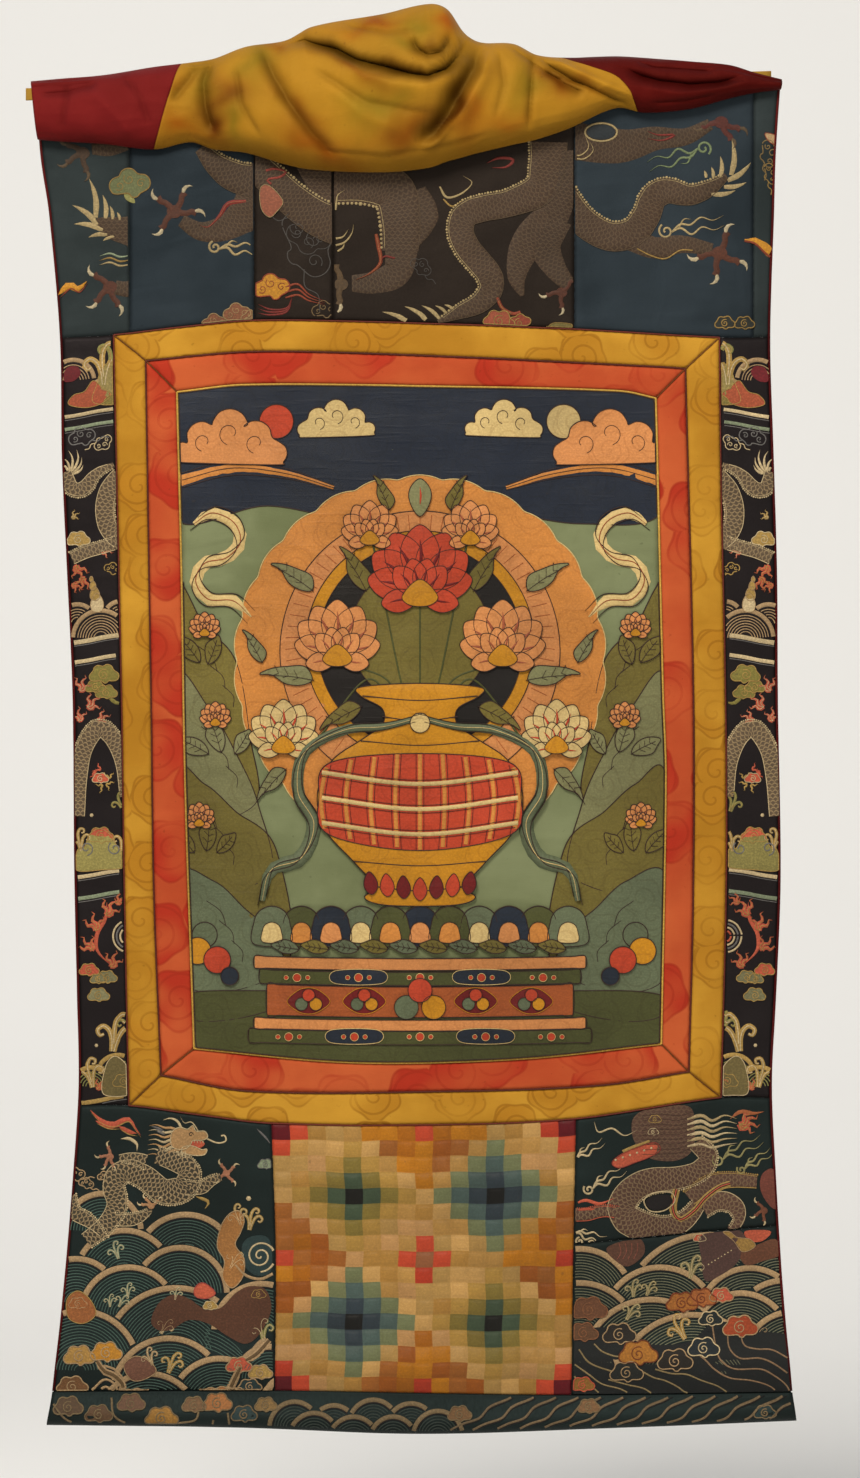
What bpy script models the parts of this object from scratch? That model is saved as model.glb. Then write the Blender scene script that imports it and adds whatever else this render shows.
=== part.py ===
# Thangka scroll painting: a silk picture in two mitred borders and a pieced brocade mount,
# a sleeve for a roller along the bottom, and its dust veil gathered up and thrown over the top.
# Modelled as it hangs, in front of a wall: +X across, -Y towards the viewer, +Z up, origin at the top edge.
import math
from collections import namedtuple

import bmesh
import bpy
from mathutils import Euler, Vector

MM = 0.001  # every size below is in millimetres

# Cloth and sewing
SHEET = 2.0  # a brocade or silk panel with its backing
VEIL_SHEET = 1.6
SEAM_GAP = 0.35
CELL = 30.0  # the most that one face of a hanging panel spans
RING_CELL = 42.0
LOWER_ROWS = 20  # faces down a lower panel, enough for its swell and crease
VEIL_CELL = 16.0
VEIL_ROWS = 25

# Side binding
BINDING_RADIUS = 1.2
BINDING_TOP = 4.0  # how far below the panels' top edge it starts
BINDING_SIDES = 2  # bevel resolution

# Yellow tape that the heading and the veil are sewn to
TAPE_LEFT = -440.0
TAPE_RIGHT = 392.0
TAPE_LEFT_HEIGHT = -6.0  # height of its middle line at each end
TAPE_RIGHT_HEIGHT = 13.0
TAPE_TALL = 14.0
TAPE_SHEET = 3.0
TAPE_EDGE = 0.8

# Roller's sleeve at the bottom
SLEEVE_RADIUS = 12.5
SLEEVE_SHEET = 2.0
SLEEVE_SEWN = 3.5  # how far its two layers are sewn together above the roller
SLEEVE_AROUND = 14

# The hang's own shape, as how far it stands forward
BELLY = 12.0
SIDE_CURL = 11.0
RIPPLE = 1.6
RIPPLE_PITCH = 310.0
LOWER_SWELL = 7.0
LOWER_SWELL_DOWN = 1424.0
LOWER_SWELL_WIDTH = 24.0
DOOR_CREASE = 3.0
DOOR_CREASE_DOWN = 1219.0
DOOR_CREASE_WIDTH = 13.0
TOP_STILL = 110.0  # how far down the panels have come away from the wall
SLEEVE_LINE = 1455.0

# Where the side edges lie, down the hanging
EdgeRow = namedtuple("EdgeRow", "down left right")
EDGES = [
    EdgeRow(-20, -428, 403),
    EdgeRow(70, -424, 397),
    EdgeRow(140, -414, 395),
    EdgeRow(280, -402, 391),
    EdgeRow(410, -400, 395),
    EdgeRow(545, -394, 399),
    EdgeRow(680, -388, 400),
    EdgeRow(880, -386, 403),
    EdgeRow(1010, -383, 398),
    EdgeRow(1110, -381, 393),
    EdgeRow(1210, -387, 397),
    EdgeRow(1340, -398, 405),
    EdgeRow(1460, -411, 416),
    EdgeRow(1500, -418, 422),
]

# Seams that run across, as pairs of (across, down)
TOP_EDGE = [(-440, 6), (0, -3), (372, -12), (404, -6)]
HEADING_SEAM = [
    (-402, 278), (-342, 275), (-269, 267), (-180, 259),
    (10, 263), (172, 269), (335, 278), (392, 277),
]
LOWER_SEAM = [
    (-382, 1135), (-325, 1135), (-246, 1145), (-166, 1154),
    (10, 1156), (174, 1149), (336, 1126), (395, 1127),
]
SLEEVE_SEAM = [(-412, 1454), (-163, 1453), (10, 1456), (170, 1458), (416, 1455)]
WAVE_SEAM = [(170, 1290), (280, 1279), (400, 1269)]  # joins the two lengths of the right lower panel
SLEEVE_BOTTOM = [(-418, 1491), (-200, 1494), (0, 1501), (200, 1495), (422, 1486)]

# Seams between the heading's widths, from left to right
HEADING_WIDTHS = [-324.0, -185.0, -97.0, 172.0, 372.0]

# The two borders are the rings between these three outlines; upright edges are pairs of (down, across)
RINGS = {
    "mount": {
        "left": [(275, -342), (680, -333), (890, -330), (1135, -325)],
        "right": [(278, 334), (446, 336), (680, 341), (875, 342), (1126, 336)],
        "top": HEADING_SEAM,
        "bottom": LOWER_SEAM,
    },
    "borders": {
        "left": [(304, -306), (678, -300), (892, -297), (1101, -289)],
        "right": [(313, 296), (678, 305), (892, 305), (1097, 300)],
        "top": [(-306, 304), (-181, 294), (10, 299), (270, 311), (296, 313)],
        "bottom": [(-289, 1101), (-194, 1118), (10, 1119), (200, 1112), (300, 1097)],
    },
    "picture": {
        "left": [(339, -271), (537, -266), (769, -262), (1071, -252)],
        "right": [(346, 263), (678, 271), (769, 274), (1066, 269)],
        "top": [(-271, 339), (-194, 331), (10, 333), (224, 338), (263, 346)],
        "bottom": [(-252, 1071), (-78, 1086), (101, 1083), (269, 1066)],
    },
}

# Sides of the patchwork door
DOOR_LEFT = [(1150, -166), (1296, -161), (1460, -162)]
DOOR_RIGHT = [(1148, 174), (1300, 171), (1460, 169)]

# The gathered veil: heights are above the top edge's level
VeilRow = namedtuple("VeilRow", "across top bottom depth")
VEIL = [
    VeilRow(-436, 7, -56, 11),
    VeilRow(-402, 10, -59, 16),
    VeilRow(-352, 14, -62, 21),
    VeilRow(-296, 23, -68, 22),
    VeilRow(-255, 28, -60, 20),
    VeilRow(-230, 32, -68, 26),
    VeilRow(-194, 45, -72, 34),
    VeilRow(-150, 52, -85, 42),
    VeilRow(-120, 67, -91, 47),
    VeilRow(-41, 81, -94, 53),
    VeilRow(10, 92, -89, 54),
    VeilRow(30, 86, -82, 52),
    VeilRow(48, 61, -77, 48),
    VeilRow(66, 50, -72, 44),
    VeilRow(104, 48, -63, 38),
    VeilRow(130, 36, -57, 32),
    VeilRow(165, 33, -45, 26),
    VeilRow(218, 35, -22, 20),
    VeilRow(250, 33, -27, 20),
    VeilRow(300, 28, -23, 19),
    VeilRow(345, 24, -11, 16),
    VeilRow(372, 16, -5, 12),
    VeilRow(404, 8, -1, 9),
]

# The veil's leg behind the tape, and in front of it at the right end
BackRow = namedtuple("BackRow", "across forward height")
VEIL_BACK = [
    BackRow(-436, -7.2, -9),
    BackRow(-260, -7.2, -6),
    BackRow(0, -7.2, -1),
    BackRow(180, -7.2, 3),
    BackRow(222, -8.5, 24),
    BackRow(262, -4, 24),
    BackRow(296, 4.2, 23),
    BackRow(350, 4.4, 9),
    BackRow(404, 4.4, 4),
]
VEIL_CLEAR = 2.8  # between the heading's face and the middle of the veil's inner fold
VEIL_HEM_FORWARD = 5.6

# The veil's two seams, as pairs of (share of the way round its section, across)
VEIL_LEFT_END = [(0.0, -424), (0.25, -426), (0.75, -434), (1.0, -434)]
VEIL_LEFT_SEAM = [(0.0, -292), (0.25, -296), (0.75, -266), (1.0, -262)]
VEIL_RIGHT_SEAM = [(0.0, 240), (0.25, 242), (0.5, 222), (0.75, 158), (1.0, 150)]
VEIL_RIGHT_END = [(0.0, 400), (0.5, 403), (1.0, 402)]

# Folds of the veil: how proud each is, its width on each side, and its line of (across, height)
FoldRow = namedtuple("FoldRow", "proud above below line")
FOLDS = {
    "under puff": FoldRow(-13, 9, 12, [(-149, 50), (-113, 50), (-40, 22), (0, 12), (39, 35), (56, 54)]),
    "second roll": FoldRow(8, 11, 11, [(-98, 38), (-56, 12), (-23, 3), (10, 1), (41, 9), (59, 29), (68, 44)]),
    "deep tuck": FoldRow(-14, 11, 19, [(66, 40), (50, 7), (36, -17), (22, -33), (10, -51), (-10, -61)]),
    "left trough": FoldRow(-8, 18, 8, [(-177, 45), (-163, 19), (-146, -9), (-121, -40), (-77, -85)]),
    "left tuck": FoldRow(-7, 7, 9, [(-233, 27), (-246, 11), (-264, -9)]),
    "pressed crease": FoldRow(-4, 6, 7, [(126, 33), (123, -9), (121, -42)]),
    "right ridge": FoldRow(5, 7, 7, [(138, 29), (172, 9), (205, -9), (233, -20)]),
    "right trough": FoldRow(-4, 7, 7, [(150, 10), (188, -6), (213, -16)]),
    "right end's hollow": FoldRow(-7, 8, 8, [(227, 20), (266, 9), (300, 5), (333, 7), (361, 13)]),
    "left end's hollow": FoldRow(-4, 8, 8, [(-425, -8), (-391, -5), (-358, 4)]),
    "puff's curl": FoldRow(-6, 7, 7, [(-3, 50), (10, 38), (27, 46), (34, 60)]),
}

# Colours and surface of each cloth: red, green, blue, roughness
CLOTHS = {
    "dark_brocade": (0.045, 0.050, 0.052, 0.75),
    "blue_brocade": (0.045, 0.065, 0.085, 0.72),
    "black_brocade": (0.022, 0.020, 0.022, 0.75),
    "wave_brocade": (0.055, 0.065, 0.055, 0.75),
    "yellow_damask": (0.50, 0.27, 0.05, 0.50),
    "red_damask": (0.50, 0.11, 0.04, 0.52),
    "picture_silk": (0.22, 0.22, 0.14, 0.55),
    "patchwork_silk": (0.45, 0.30, 0.13, 0.50),
    "veil_yellow": (0.42, 0.24, 0.04, 0.45),
    "veil_red": (0.20, 0.025, 0.025, 0.50),
    "red_binding": (0.16, 0.02, 0.02, 0.70),
}


def mix(a, b, share):
    return a + (b - a) * share


def ease(low, high, value):
    """0 below low, 1 above high, and a smooth rise between."""
    share = min(1.0, max(0.0, (value - low) / (high - low)))
    return share * share * (3 - 2 * share)


def through(points, at):
    """The value at a place on a smooth curve through (place, value) points, straight past its ends."""
    last = len(points) - 1
    span = 0
    while span < last - 1 and at > points[span + 1][0]:
        span += 1
    (x0, y0), (x1, y1) = points[span], points[span + 1]
    width = x1 - x0
    slope = (y1 - y0) / width
    before = (y1 - points[span - 1][1]) / (x1 - points[span - 1][0]) if span > 0 else slope
    after = (points[span + 2][1] - y0) / (points[span + 2][0] - x0) if span + 2 <= last else slope
    share = (at - x0) / width
    if share < 0:
        return y0 + before * (at - x0)
    if share > 1:
        return y1 + after * (at - x1)
    rise = share * share * (3 - 2 * share)
    bend = share * (1 - share) * width
    return mix(y0, y1, rise) + bend * (before * (1 - share) - after * share)


def column(rows, field):
    """One named column of a table as (place, value) pairs, for through()."""
    return [(row[0], getattr(row, field)) for row in rows]


def forward(across, down):
    """How far the hanging stands forward of the wall side of its top edge."""
    free = ease(0, TOP_STILL, down)
    held = 1 - ease(SLEEVE_LINE - 160, SLEEVE_LINE, down)
    fall = min(1.0, max(0.0, down / SLEEVE_LINE))
    side = min(1.0, abs(across) / 400)
    belly = BELLY * math.sin(math.pi * fall) * (1 - side * side)
    curl = -SIDE_CURL * math.sin(math.pi * fall) * side**4
    ripple = RIPPLE * math.sin(2 * math.pi * across / RIPPLE_PITCH + down / 260)
    swell = LOWER_SWELL * math.exp(-(((down - LOWER_SWELL_DOWN) / LOWER_SWELL_WIDTH) ** 2))
    in_door = ease(-200, -150, across) * (1 - ease(180, 270, across))
    crease = DOOR_CREASE * in_door * math.exp(-(((down - DOOR_CREASE_DOWN) / DOOR_CREASE_WIDTH) ** 2))
    return free * (belly + curl + ripple * held + swell + crease)


def hang_point(across, down, proud=0.0):
    """The place, in metres, of a spot on the hanging's face, or proud of it."""
    return Vector((across, -(forward(across, down) + proud), -down)) * MM


def cloth(name):
    """The Principled material of one kind of cloth."""
    if name in bpy.data.materials:
        return bpy.data.materials[name]
    red, green, blue, roughness = CLOTHS[name]
    material = bpy.data.materials.new(name)
    material.use_nodes = True
    shader = material.node_tree.nodes["Principled BSDF"]
    shader.inputs["Base Color"].default_value = (red, green, blue, 1)
    shader.inputs["Roughness"].default_value = roughness
    shader.inputs["Metallic"].default_value = 0
    material.diffuse_color = (red, green, blue, 1)
    return material


def finish(obj, cloth_name):
    """Names the object's cloth, shades it smooth and puts it in the hanging's collection."""
    obj.data.materials.clear()
    obj.data.materials.append(cloth(cloth_name))
    for holder in list(obj.users_collection):
        holder.objects.unlink(obj)
    bpy.data.collections["thangka"].objects.link(obj)
    return obj


def sheet_from_grid(name, columns, rows, place, thickness, cloth_name):
    """A grid whose corners place() sets, with the cloth's thickness behind its face."""
    bm = bmesh.new()
    bmesh.ops.create_grid(bm, x_segments=columns, y_segments=rows, size=0.5)
    for vertex in bm.verts:
        vertex.co = place(vertex.co.x + 0.5, 0.5 - vertex.co.y)
    mesh = bpy.data.meshes.new(name)
    bm.normal_update()
    if sum(face.normal.y * face.calc_area() for face in bm.faces) > 0:
        bmesh.ops.reverse_faces(bm, faces=bm.faces)
    bm.to_mesh(mesh)
    bm.free()
    mesh.shade_smooth()
    obj = bpy.data.objects.new(name, mesh)
    bpy.context.scene.collection.objects.link(obj)
    solid = obj.modifiers.new("thickness", "SOLIDIFY")
    solid.thickness = thickness * MM
    solid.offset = -1
    return finish(obj, cloth_name)


def faces_along(length, cell=CELL):
    return max(2, math.ceil(length / cell))


def panel(name, left, right, top, bottom, cloth_name, counts=None):
    """A panel between two upright edges, as across by down, and two level ones, as down by across."""

    def spot(s, t):
        across, down = 0.0, SLEEVE_LINE / 2
        for _ in range(14):
            across = mix(left(down), right(down), s)
            down = mix(top(across), bottom(across), t)
        return across, down

    middle_left, middle_right = spot(0, 0.5), spot(1, 0.5)
    middle_top, middle_bottom = spot(0.5, 0), spot(0.5, 1)
    wide, tall = middle_right[0] - middle_left[0], middle_bottom[1] - middle_top[1]
    edge_s, edge_t = SEAM_GAP / 2 / wide, SEAM_GAP / 2 / tall

    def place(s, t):
        return hang_point(*spot(mix(edge_s, 1 - edge_s, s), mix(edge_t, 1 - edge_t, t)))

    counts = counts or (faces_along(wide), faces_along(tall))
    return sheet_from_grid(name, *counts, place, SHEET, cloth_name)


def corner(ring, upright, level):
    """Where two edges of a ring meet, as (across, down)."""
    edges = RINGS[ring]
    across, down = 0.0, through(edges[level], 0)
    for _ in range(14):
        across = through(edges[upright], down)
        down = through(edges[level], across)
    return across, down


def along_ring(ring, side, share):
    """A spot on one side of a ring, from its first corner to its second, as (across, down)."""
    edges = RINGS[ring]
    if side in ("top", "bottom"):
        start, end = corner(ring, "left", side), corner(ring, "right", side)
        across = mix(start[0], end[0], share)
        return across, through(edges[side], across)
    start, end = corner(ring, side, "top"), corner(ring, side, "bottom")
    down = mix(start[1], end[1], share)
    return through(edges[side], down), down


def border_strip(name, outer, inner, side, cloth_name):
    """One strip of a border, cut to a mitre at both ends."""
    first, last = along_ring(outer, side, 0), along_ring(outer, side, 1)
    length = math.dist(first, last)
    width = math.dist(along_ring(outer, side, 0.5), along_ring(inner, side, 0.5))
    edge_s, edge_t = 0.75 * SEAM_GAP / length, SEAM_GAP / 2 / width

    def place(s, t):
        s, t = mix(edge_s, 1 - edge_s, s), mix(edge_t, 1 - edge_t, t)
        outside, inside = along_ring(outer, side, s), along_ring(inner, side, s)
        return hang_point(mix(outside[0], inside[0], t), mix(outside[1], inside[1], t))

    return sheet_from_grid(name, ring_steps(side), 2, place, SHEET, cloth_name)


def ring_steps(side):
    """How many faces run along one side of every ring, so that both sides of a seam have the same corners."""
    return faces_along(math.dist(along_ring("mount", side, 0), along_ring("mount", side, 1)), RING_CELL)


def left_edge(down):
    return through(column(EDGES, "left"), down) + 2 * BINDING_RADIUS + SEAM_GAP


def right_edge(down):
    return through(column(EDGES, "right"), down) - 2 * BINDING_RADIUS - SEAM_GAP


def curve_of(points):
    """The smooth curve through a table's points, as a function."""
    return lambda at: through(points, at)


def straight(value):
    return lambda at: value


def build_heading():
    """The heading: six widths of brocade, joined edge to edge."""
    sides = [left_edge, *[straight(x) for x in HEADING_WIDTHS], right_edge]
    cloths = ["dark_brocade", "blue_brocade", "black_brocade", "black_brocade", "blue_brocade", "dark_brocade"]
    for number, cloth_name in enumerate(cloths):
        panel(
            f"heading_{number + 1}",
            sides[number],
            sides[number + 1],
            curve_of(TOP_EDGE),
            curve_of(HEADING_SEAM),
            cloth_name,
        )


def build_sides():
    """The narrow brocade lengths beside the borders."""
    mount = RINGS["mount"]
    level = curve_of(HEADING_SEAM), curve_of(LOWER_SEAM)
    panel("side_left", left_edge, curve_of(mount["left"]), *level, "black_brocade")
    panel("side_right", curve_of(mount["right"]), right_edge, *level, "black_brocade")


def build_borders():
    """Two rings of four mitred strips, and the picture inside them."""
    for side in ("top", "right", "bottom", "left"):
        border_strip(f"border_yellow_{side}", "mount", "borders", side, "yellow_damask")
        border_strip(f"border_red_{side}", "borders", "picture", side, "red_damask")
    inside = RINGS["picture"]
    edges = [curve_of(inside[side]) for side in ("left", "right", "top", "bottom")]
    panel("picture", *edges, "picture_silk", counts=(ring_steps("top"), ring_steps("left")))


def build_lower_mount():
    """The patchwork door, with brocade on both sides of it."""
    door_left, door_right = curve_of(DOOR_LEFT), curve_of(DOOR_RIGHT)
    top, bottom, join = curve_of(LOWER_SEAM), curve_of(SLEEVE_SEAM), curve_of(WAVE_SEAM)
    half = LOWER_ROWS // 2
    panel("door_patchwork", door_left, door_right, top, bottom, "patchwork_silk", counts=(12, LOWER_ROWS))
    panel("lower_left", left_edge, door_left, top, bottom, "wave_brocade", counts=(11, LOWER_ROWS))
    panel("lower_right_top", door_right, right_edge, top, join, "dark_brocade", counts=(8, half))
    panel("lower_right_waves", door_right, right_edge, join, bottom, "wave_brocade", counts=(8, half + 2))


def build_binding(side):
    """The thin red binding that covers one side edge, from the tape to the roller's sleeve."""
    inward = BINDING_RADIUS if side == "left" else -BINDING_RADIUS
    start = through(TOP_EDGE, -425 if side == "left" else 400) + BINDING_TOP
    steps = 36
    curve = bpy.data.curves.new(f"binding_{side}", "CURVE")
    curve.dimensions = "3D"
    spline = curve.splines.new("POLY")
    spline.points.add(steps - 1)
    for number, point in enumerate(spline.points):
        down = mix(start, SLEEVE_LINE - 2, number / (steps - 1))
        across = through(column(EDGES, side), down) + inward
        point.co = (*hang_point(across, down, -SHEET / 2), 1)
    curve.bevel_depth = BINDING_RADIUS * MM
    curve.bevel_resolution = BINDING_SIDES
    curve.use_fill_caps = True
    obj = bpy.data.objects.new(curve.name, curve)
    bpy.context.scene.collection.objects.link(obj)
    return finish(obj, "red_binding")


def sleeve_point(across, share, inner):
    """A spot of the sleeve's section, from its front top edge round the roller's space to its back top edge."""
    top = through(SLEEVE_SEAM, across) + 0.8 * SEAM_GAP
    centre = through(SLEEVE_BOTTOM, across) - SLEEVE_RADIUS
    radius = SLEEVE_RADIUS - (SLEEVE_SHEET if inner else 0)
    start = 0.1 if inner else SLEEVE_SHEET
    drop = centre - top - SLEEVE_SEWN
    leave = math.atan2(start, drop) + math.acos(radius / math.hypot(start, drop))
    if share in (0, 1):
        out, down = start, top + (SLEEVE_SEWN if inner else 0)
    elif not inner and min(share, 1 - share) * SLEEVE_AROUND < 1.5:
        out, down = start, top + SLEEVE_SEWN
    else:
        first = 1 if inner else 2
        turn = (share * SLEEVE_AROUND - first) / (SLEEVE_AROUND - 2 * first)
        angle = mix(leave, 2 * math.pi - leave, turn)
        out, down = radius * abs(math.sin(angle)), centre - radius * math.cos(angle)
        if abs(share - 0.5) < 0.01:
            out = 0
    line = forward(across, SLEEVE_LINE) - SHEET / 2
    left, right = through(column(EDGES, "left"), down), through(column(EDGES, "right"), down)
    sideways = mix(left, right, across_share(across))
    return Vector((sideways, -(line + math.copysign(out, 0.5 - share)), -down)) * MM


def across_share(across):
    left = through(column(EDGES, "left"), SLEEVE_LINE)
    right = through(column(EDGES, "right"), SLEEVE_LINE)
    return (across - left) / (right - left)


def build_sleeve():
    """The bottom sleeve, as it holds its shape round a roller: sewn flat at its top and open at both ends."""
    left, right = through(column(EDGES, "left"), SLEEVE_LINE), through(column(EDGES, "right"), SLEEVE_LINE)
    steps = faces_along(right - left, 1.4 * CELL)
    bm = bmesh.new()
    for inner in (False, True):
        around = SLEEVE_AROUND + 1
        made = bmesh.ops.create_grid(bm, x_segments=steps, y_segments=around, size=0.5)
        for vertex in made["verts"]:
            across = mix(left, right, vertex.co.x + 0.5)
            step = round((0.5 - vertex.co.y) * around)
            share = 0 if step == around else step / SLEEVE_AROUND
            vertex.co = sleeve_point(across, share, inner)
        bmesh.ops.remove_doubles(bm, verts=made["verts"], dist=0.000005)
    middle = (left + right) / 2 * MM
    rims = [edge for edge in bm.edges if edge.is_boundary]
    for end in (-1, 1):
        near = [edge for edge in rims if (edge.verts[0].co.x - middle) * end > 0]
        bmesh.ops.bridge_loops(bm, edges=near)
    bmesh.ops.recalc_face_normals(bm, faces=bm.faces)
    mesh = bpy.data.meshes.new("roller_sleeve")
    bm.to_mesh(mesh)
    bm.free()
    mesh.shade_smooth()
    obj = bpy.data.objects.new("roller_sleeve", mesh)
    bpy.context.scene.collection.objects.link(obj)
    return finish(obj, "wave_brocade")


def build_tape():
    """The tape along the top edge, behind the heading."""
    rise = TAPE_RIGHT_HEIGHT - TAPE_LEFT_HEIGHT
    run = TAPE_RIGHT - TAPE_LEFT
    middle = (TAPE_LEFT + TAPE_RIGHT) / 2
    height = (TAPE_LEFT_HEIGHT + TAPE_RIGHT_HEIGHT) / 2
    centre = Vector((middle, SHEET + SEAM_GAP + TAPE_SHEET / 2, height))
    bpy.ops.mesh.primitive_cube_add(size=1, location=centre * MM)
    obj = bpy.context.object
    obj.name = obj.data.name = "heading_tape"
    obj.scale = Vector((math.hypot(rise, run), TAPE_SHEET, TAPE_TALL)) * MM
    bpy.ops.object.transform_apply(location=False, rotation=False, scale=True)
    obj.rotation_euler = Euler((0, -math.atan2(rise, run), 0))
    bevel = obj.modifiers.new("edges", "BEVEL")
    bevel.width = TAPE_EDGE * MM
    bevel.segments = 1
    return finish(obj, "veil_yellow")


def along_line(line, across, height):
    """(signed distance to a fold's line, positive above or left of it; how far along it, 0 to 1)."""
    best, total = None, 0.0
    spans = list(zip(line, line[1:]))
    length = sum(math.dist(a, b) for a, b in spans)
    for (ax, az), (bx, bz) in spans:
        dx, dz = bx - ax, bz - az
        long = math.hypot(dx, dz)
        share = min(1.0, max(0.0, ((across - ax) * dx + (height - az) * dz) / (long * long)))
        gap = math.dist((across, height), (ax + dx * share, az + dz * share))
        side = dx * (height - az) - dz * (across - ax)
        if best is None or gap < abs(best[0]):
            best = (math.copysign(gap, side), (total + share * long) / length)
        total += long
    return best


def folds(across, height):
    """How far the veil's folds lift its face at a spot."""
    lift = 0.0
    for fold in FOLDS.values():
        gap, share = along_line(fold.line, across, height)
        width = fold.above if gap > 0 else fold.below
        fade = ease(-0.05, 0.15, share) * (1 - ease(0.85, 1.05, share))
        lift += fold.proud * fade * math.exp(-((gap / width) ** 2))
    return lift


def veil_section(across):
    """The veil's section at one place across it: (forward, height) points from its tucked hem to its back."""
    top = through(column(VEIL, "top"), across)
    bottom = through(column(VEIL, "bottom"), across)
    depth = through(column(VEIL, "depth"), across)
    back = through(column(VEIL_BACK, "forward"), across)
    back_end = through(column(VEIL_BACK, "height"), across)
    tall = top - bottom
    return [
        (VEIL_HEM_FORWARD, bottom + 0.34 * tall),
        (VEIL_CLEAR + 1.6, bottom + 0.12 * tall),
        (VEIL_HEM_FORWARD + 0.16 * depth, bottom),
        (0.80 * depth + 3, bottom + 0.13 * tall),
        (depth + 3, bottom + 0.38 * tall),
        (0.86 * depth + 3, bottom + 0.66 * tall),
        (0.50 * depth + 2, bottom + 0.90 * tall),
        (mix(back, depth, 0.18), top),
        (back - 1.2, mix(top, back_end, 0.30)),
        (back, back_end),
    ]


def veil_point(across, turn):
    """A spot of the veil: turn runs round its section, 0 at the hem and 1 at the back."""
    section = veil_section(across)
    at = turn * (len(section) - 1)
    out = through([(n, p[0]) for n, p in enumerate(section)], at)
    height = through([(n, p[1]) for n, p in enumerate(section)], at)
    face = ease(1.9, 3.2, at) * (1 - ease(6.2, 7.2, at))
    deep = through(column(VEIL, "depth"), across)
    lift = folds(across, height) * face * min(1.0, deep / 24)
    out = max(out + lift, mix(-100, VEIL_HEM_FORWARD + 3.2, face))
    return Vector((across, -out, height)) * MM


def build_veil():
    """The dust veil, a yellow middle and two red ends, gathered up and thrown over the top edge."""
    pieces = [
        ("veil_end_left", VEIL_LEFT_END, VEIL_LEFT_SEAM, "veil_red"),
        ("veil_middle", VEIL_LEFT_SEAM, VEIL_RIGHT_SEAM, "veil_yellow"),
        ("veil_end_right", VEIL_RIGHT_SEAM, VEIL_RIGHT_END, "veil_red"),
    ]
    for name, left, right, cloth_name in pieces:
        wide = right[1][1] - left[1][1]
        edge = SEAM_GAP / wide

        def place(s, t):
            share = mix(edge, 1 - edge, s)
            return veil_point(mix(through(left, t), through(right, t), share), t)

        sheet_from_grid(name, faces_along(wide, VEIL_CELL), VEIL_ROWS, place, VEIL_SHEET, cloth_name)


def clear_scene():
    for obj in list(bpy.data.objects):
        bpy.data.objects.remove(obj)
    holder = bpy.data.collections.new("thangka")
    bpy.context.scene.collection.children.link(holder)


def main():
    clear_scene()
    build_tape()
    build_heading()
    build_sides()
    build_borders()
    build_lower_mount()
    build_binding("left")
    build_binding("right")
    build_sleeve()
    build_veil()


main()
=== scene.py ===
# Silk thangka hanging scroll: every cloth laid again, finer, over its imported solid, with its weave,
# applique, couched cords and patchwork. Lengths below are in millimetres, and d is down from the top edge.
import math
import random

import bpy
import numpy as np
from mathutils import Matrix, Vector
from mathutils.geometry import delaunay_2d_cdt


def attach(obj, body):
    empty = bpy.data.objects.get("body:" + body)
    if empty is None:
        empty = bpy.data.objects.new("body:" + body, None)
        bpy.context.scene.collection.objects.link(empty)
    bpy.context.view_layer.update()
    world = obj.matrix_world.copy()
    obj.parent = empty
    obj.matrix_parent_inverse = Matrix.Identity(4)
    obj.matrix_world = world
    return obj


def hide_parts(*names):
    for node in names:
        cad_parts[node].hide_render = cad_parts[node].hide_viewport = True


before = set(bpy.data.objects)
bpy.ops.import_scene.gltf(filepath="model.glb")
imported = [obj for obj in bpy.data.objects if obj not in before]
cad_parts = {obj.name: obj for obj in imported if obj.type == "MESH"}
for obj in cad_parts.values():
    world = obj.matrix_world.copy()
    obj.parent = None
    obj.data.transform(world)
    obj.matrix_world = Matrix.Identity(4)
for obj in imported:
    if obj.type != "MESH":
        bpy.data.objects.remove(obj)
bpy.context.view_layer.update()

bpy.ops.object.select_all(action="DESELECT")
mm = 0.001
chance = random.Random(7)

# how the hanging lies

edges = [  # down, left edge, right edge
    (-20, -428, 403), (70, -424, 397), (140, -414, 395), (280, -402, 391), (410, -400, 395),
    (545, -394, 399), (680, -388, 400), (880, -386, 403), (1010, -383, 398), (1110, -381, 393),
    (1210, -387, 397), (1340, -398, 405), (1460, -411, 416), (1500, -418, 422),
]
leftEdge = [(row[0], row[1]) for row in edges]
rightEdge = [(row[0], row[2]) for row in edges]
topEdge = [(-440, 6), (0, -3), (372, -12), (404, -6)]
headingSeam = [(-402, 278), (-342, 275), (-269, 267), (-180, 259), (10, 263), (172, 269), (335, 278), (392, 277)]
lowerSeam = [(-382, 1135), (-325, 1135), (-246, 1145), (-166, 1154), (10, 1156), (174, 1149), (336, 1126), (395, 1127)]
sleeveSeam = [(-412, 1454), (-163, 1453), (10, 1456), (170, 1458), (416, 1455)]
sleeveBottom = [(-418, 1491), (-200, 1494), (0, 1501), (200, 1495), (422, 1486)]
waveSeam = [(170, 1290), (280, 1279), (400, 1269)]
doorLeft = [(1150, -166), (1296, -161), (1460, -162)]
doorRight = [(1148, 174), (1300, 171), (1460, 169)]
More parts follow.
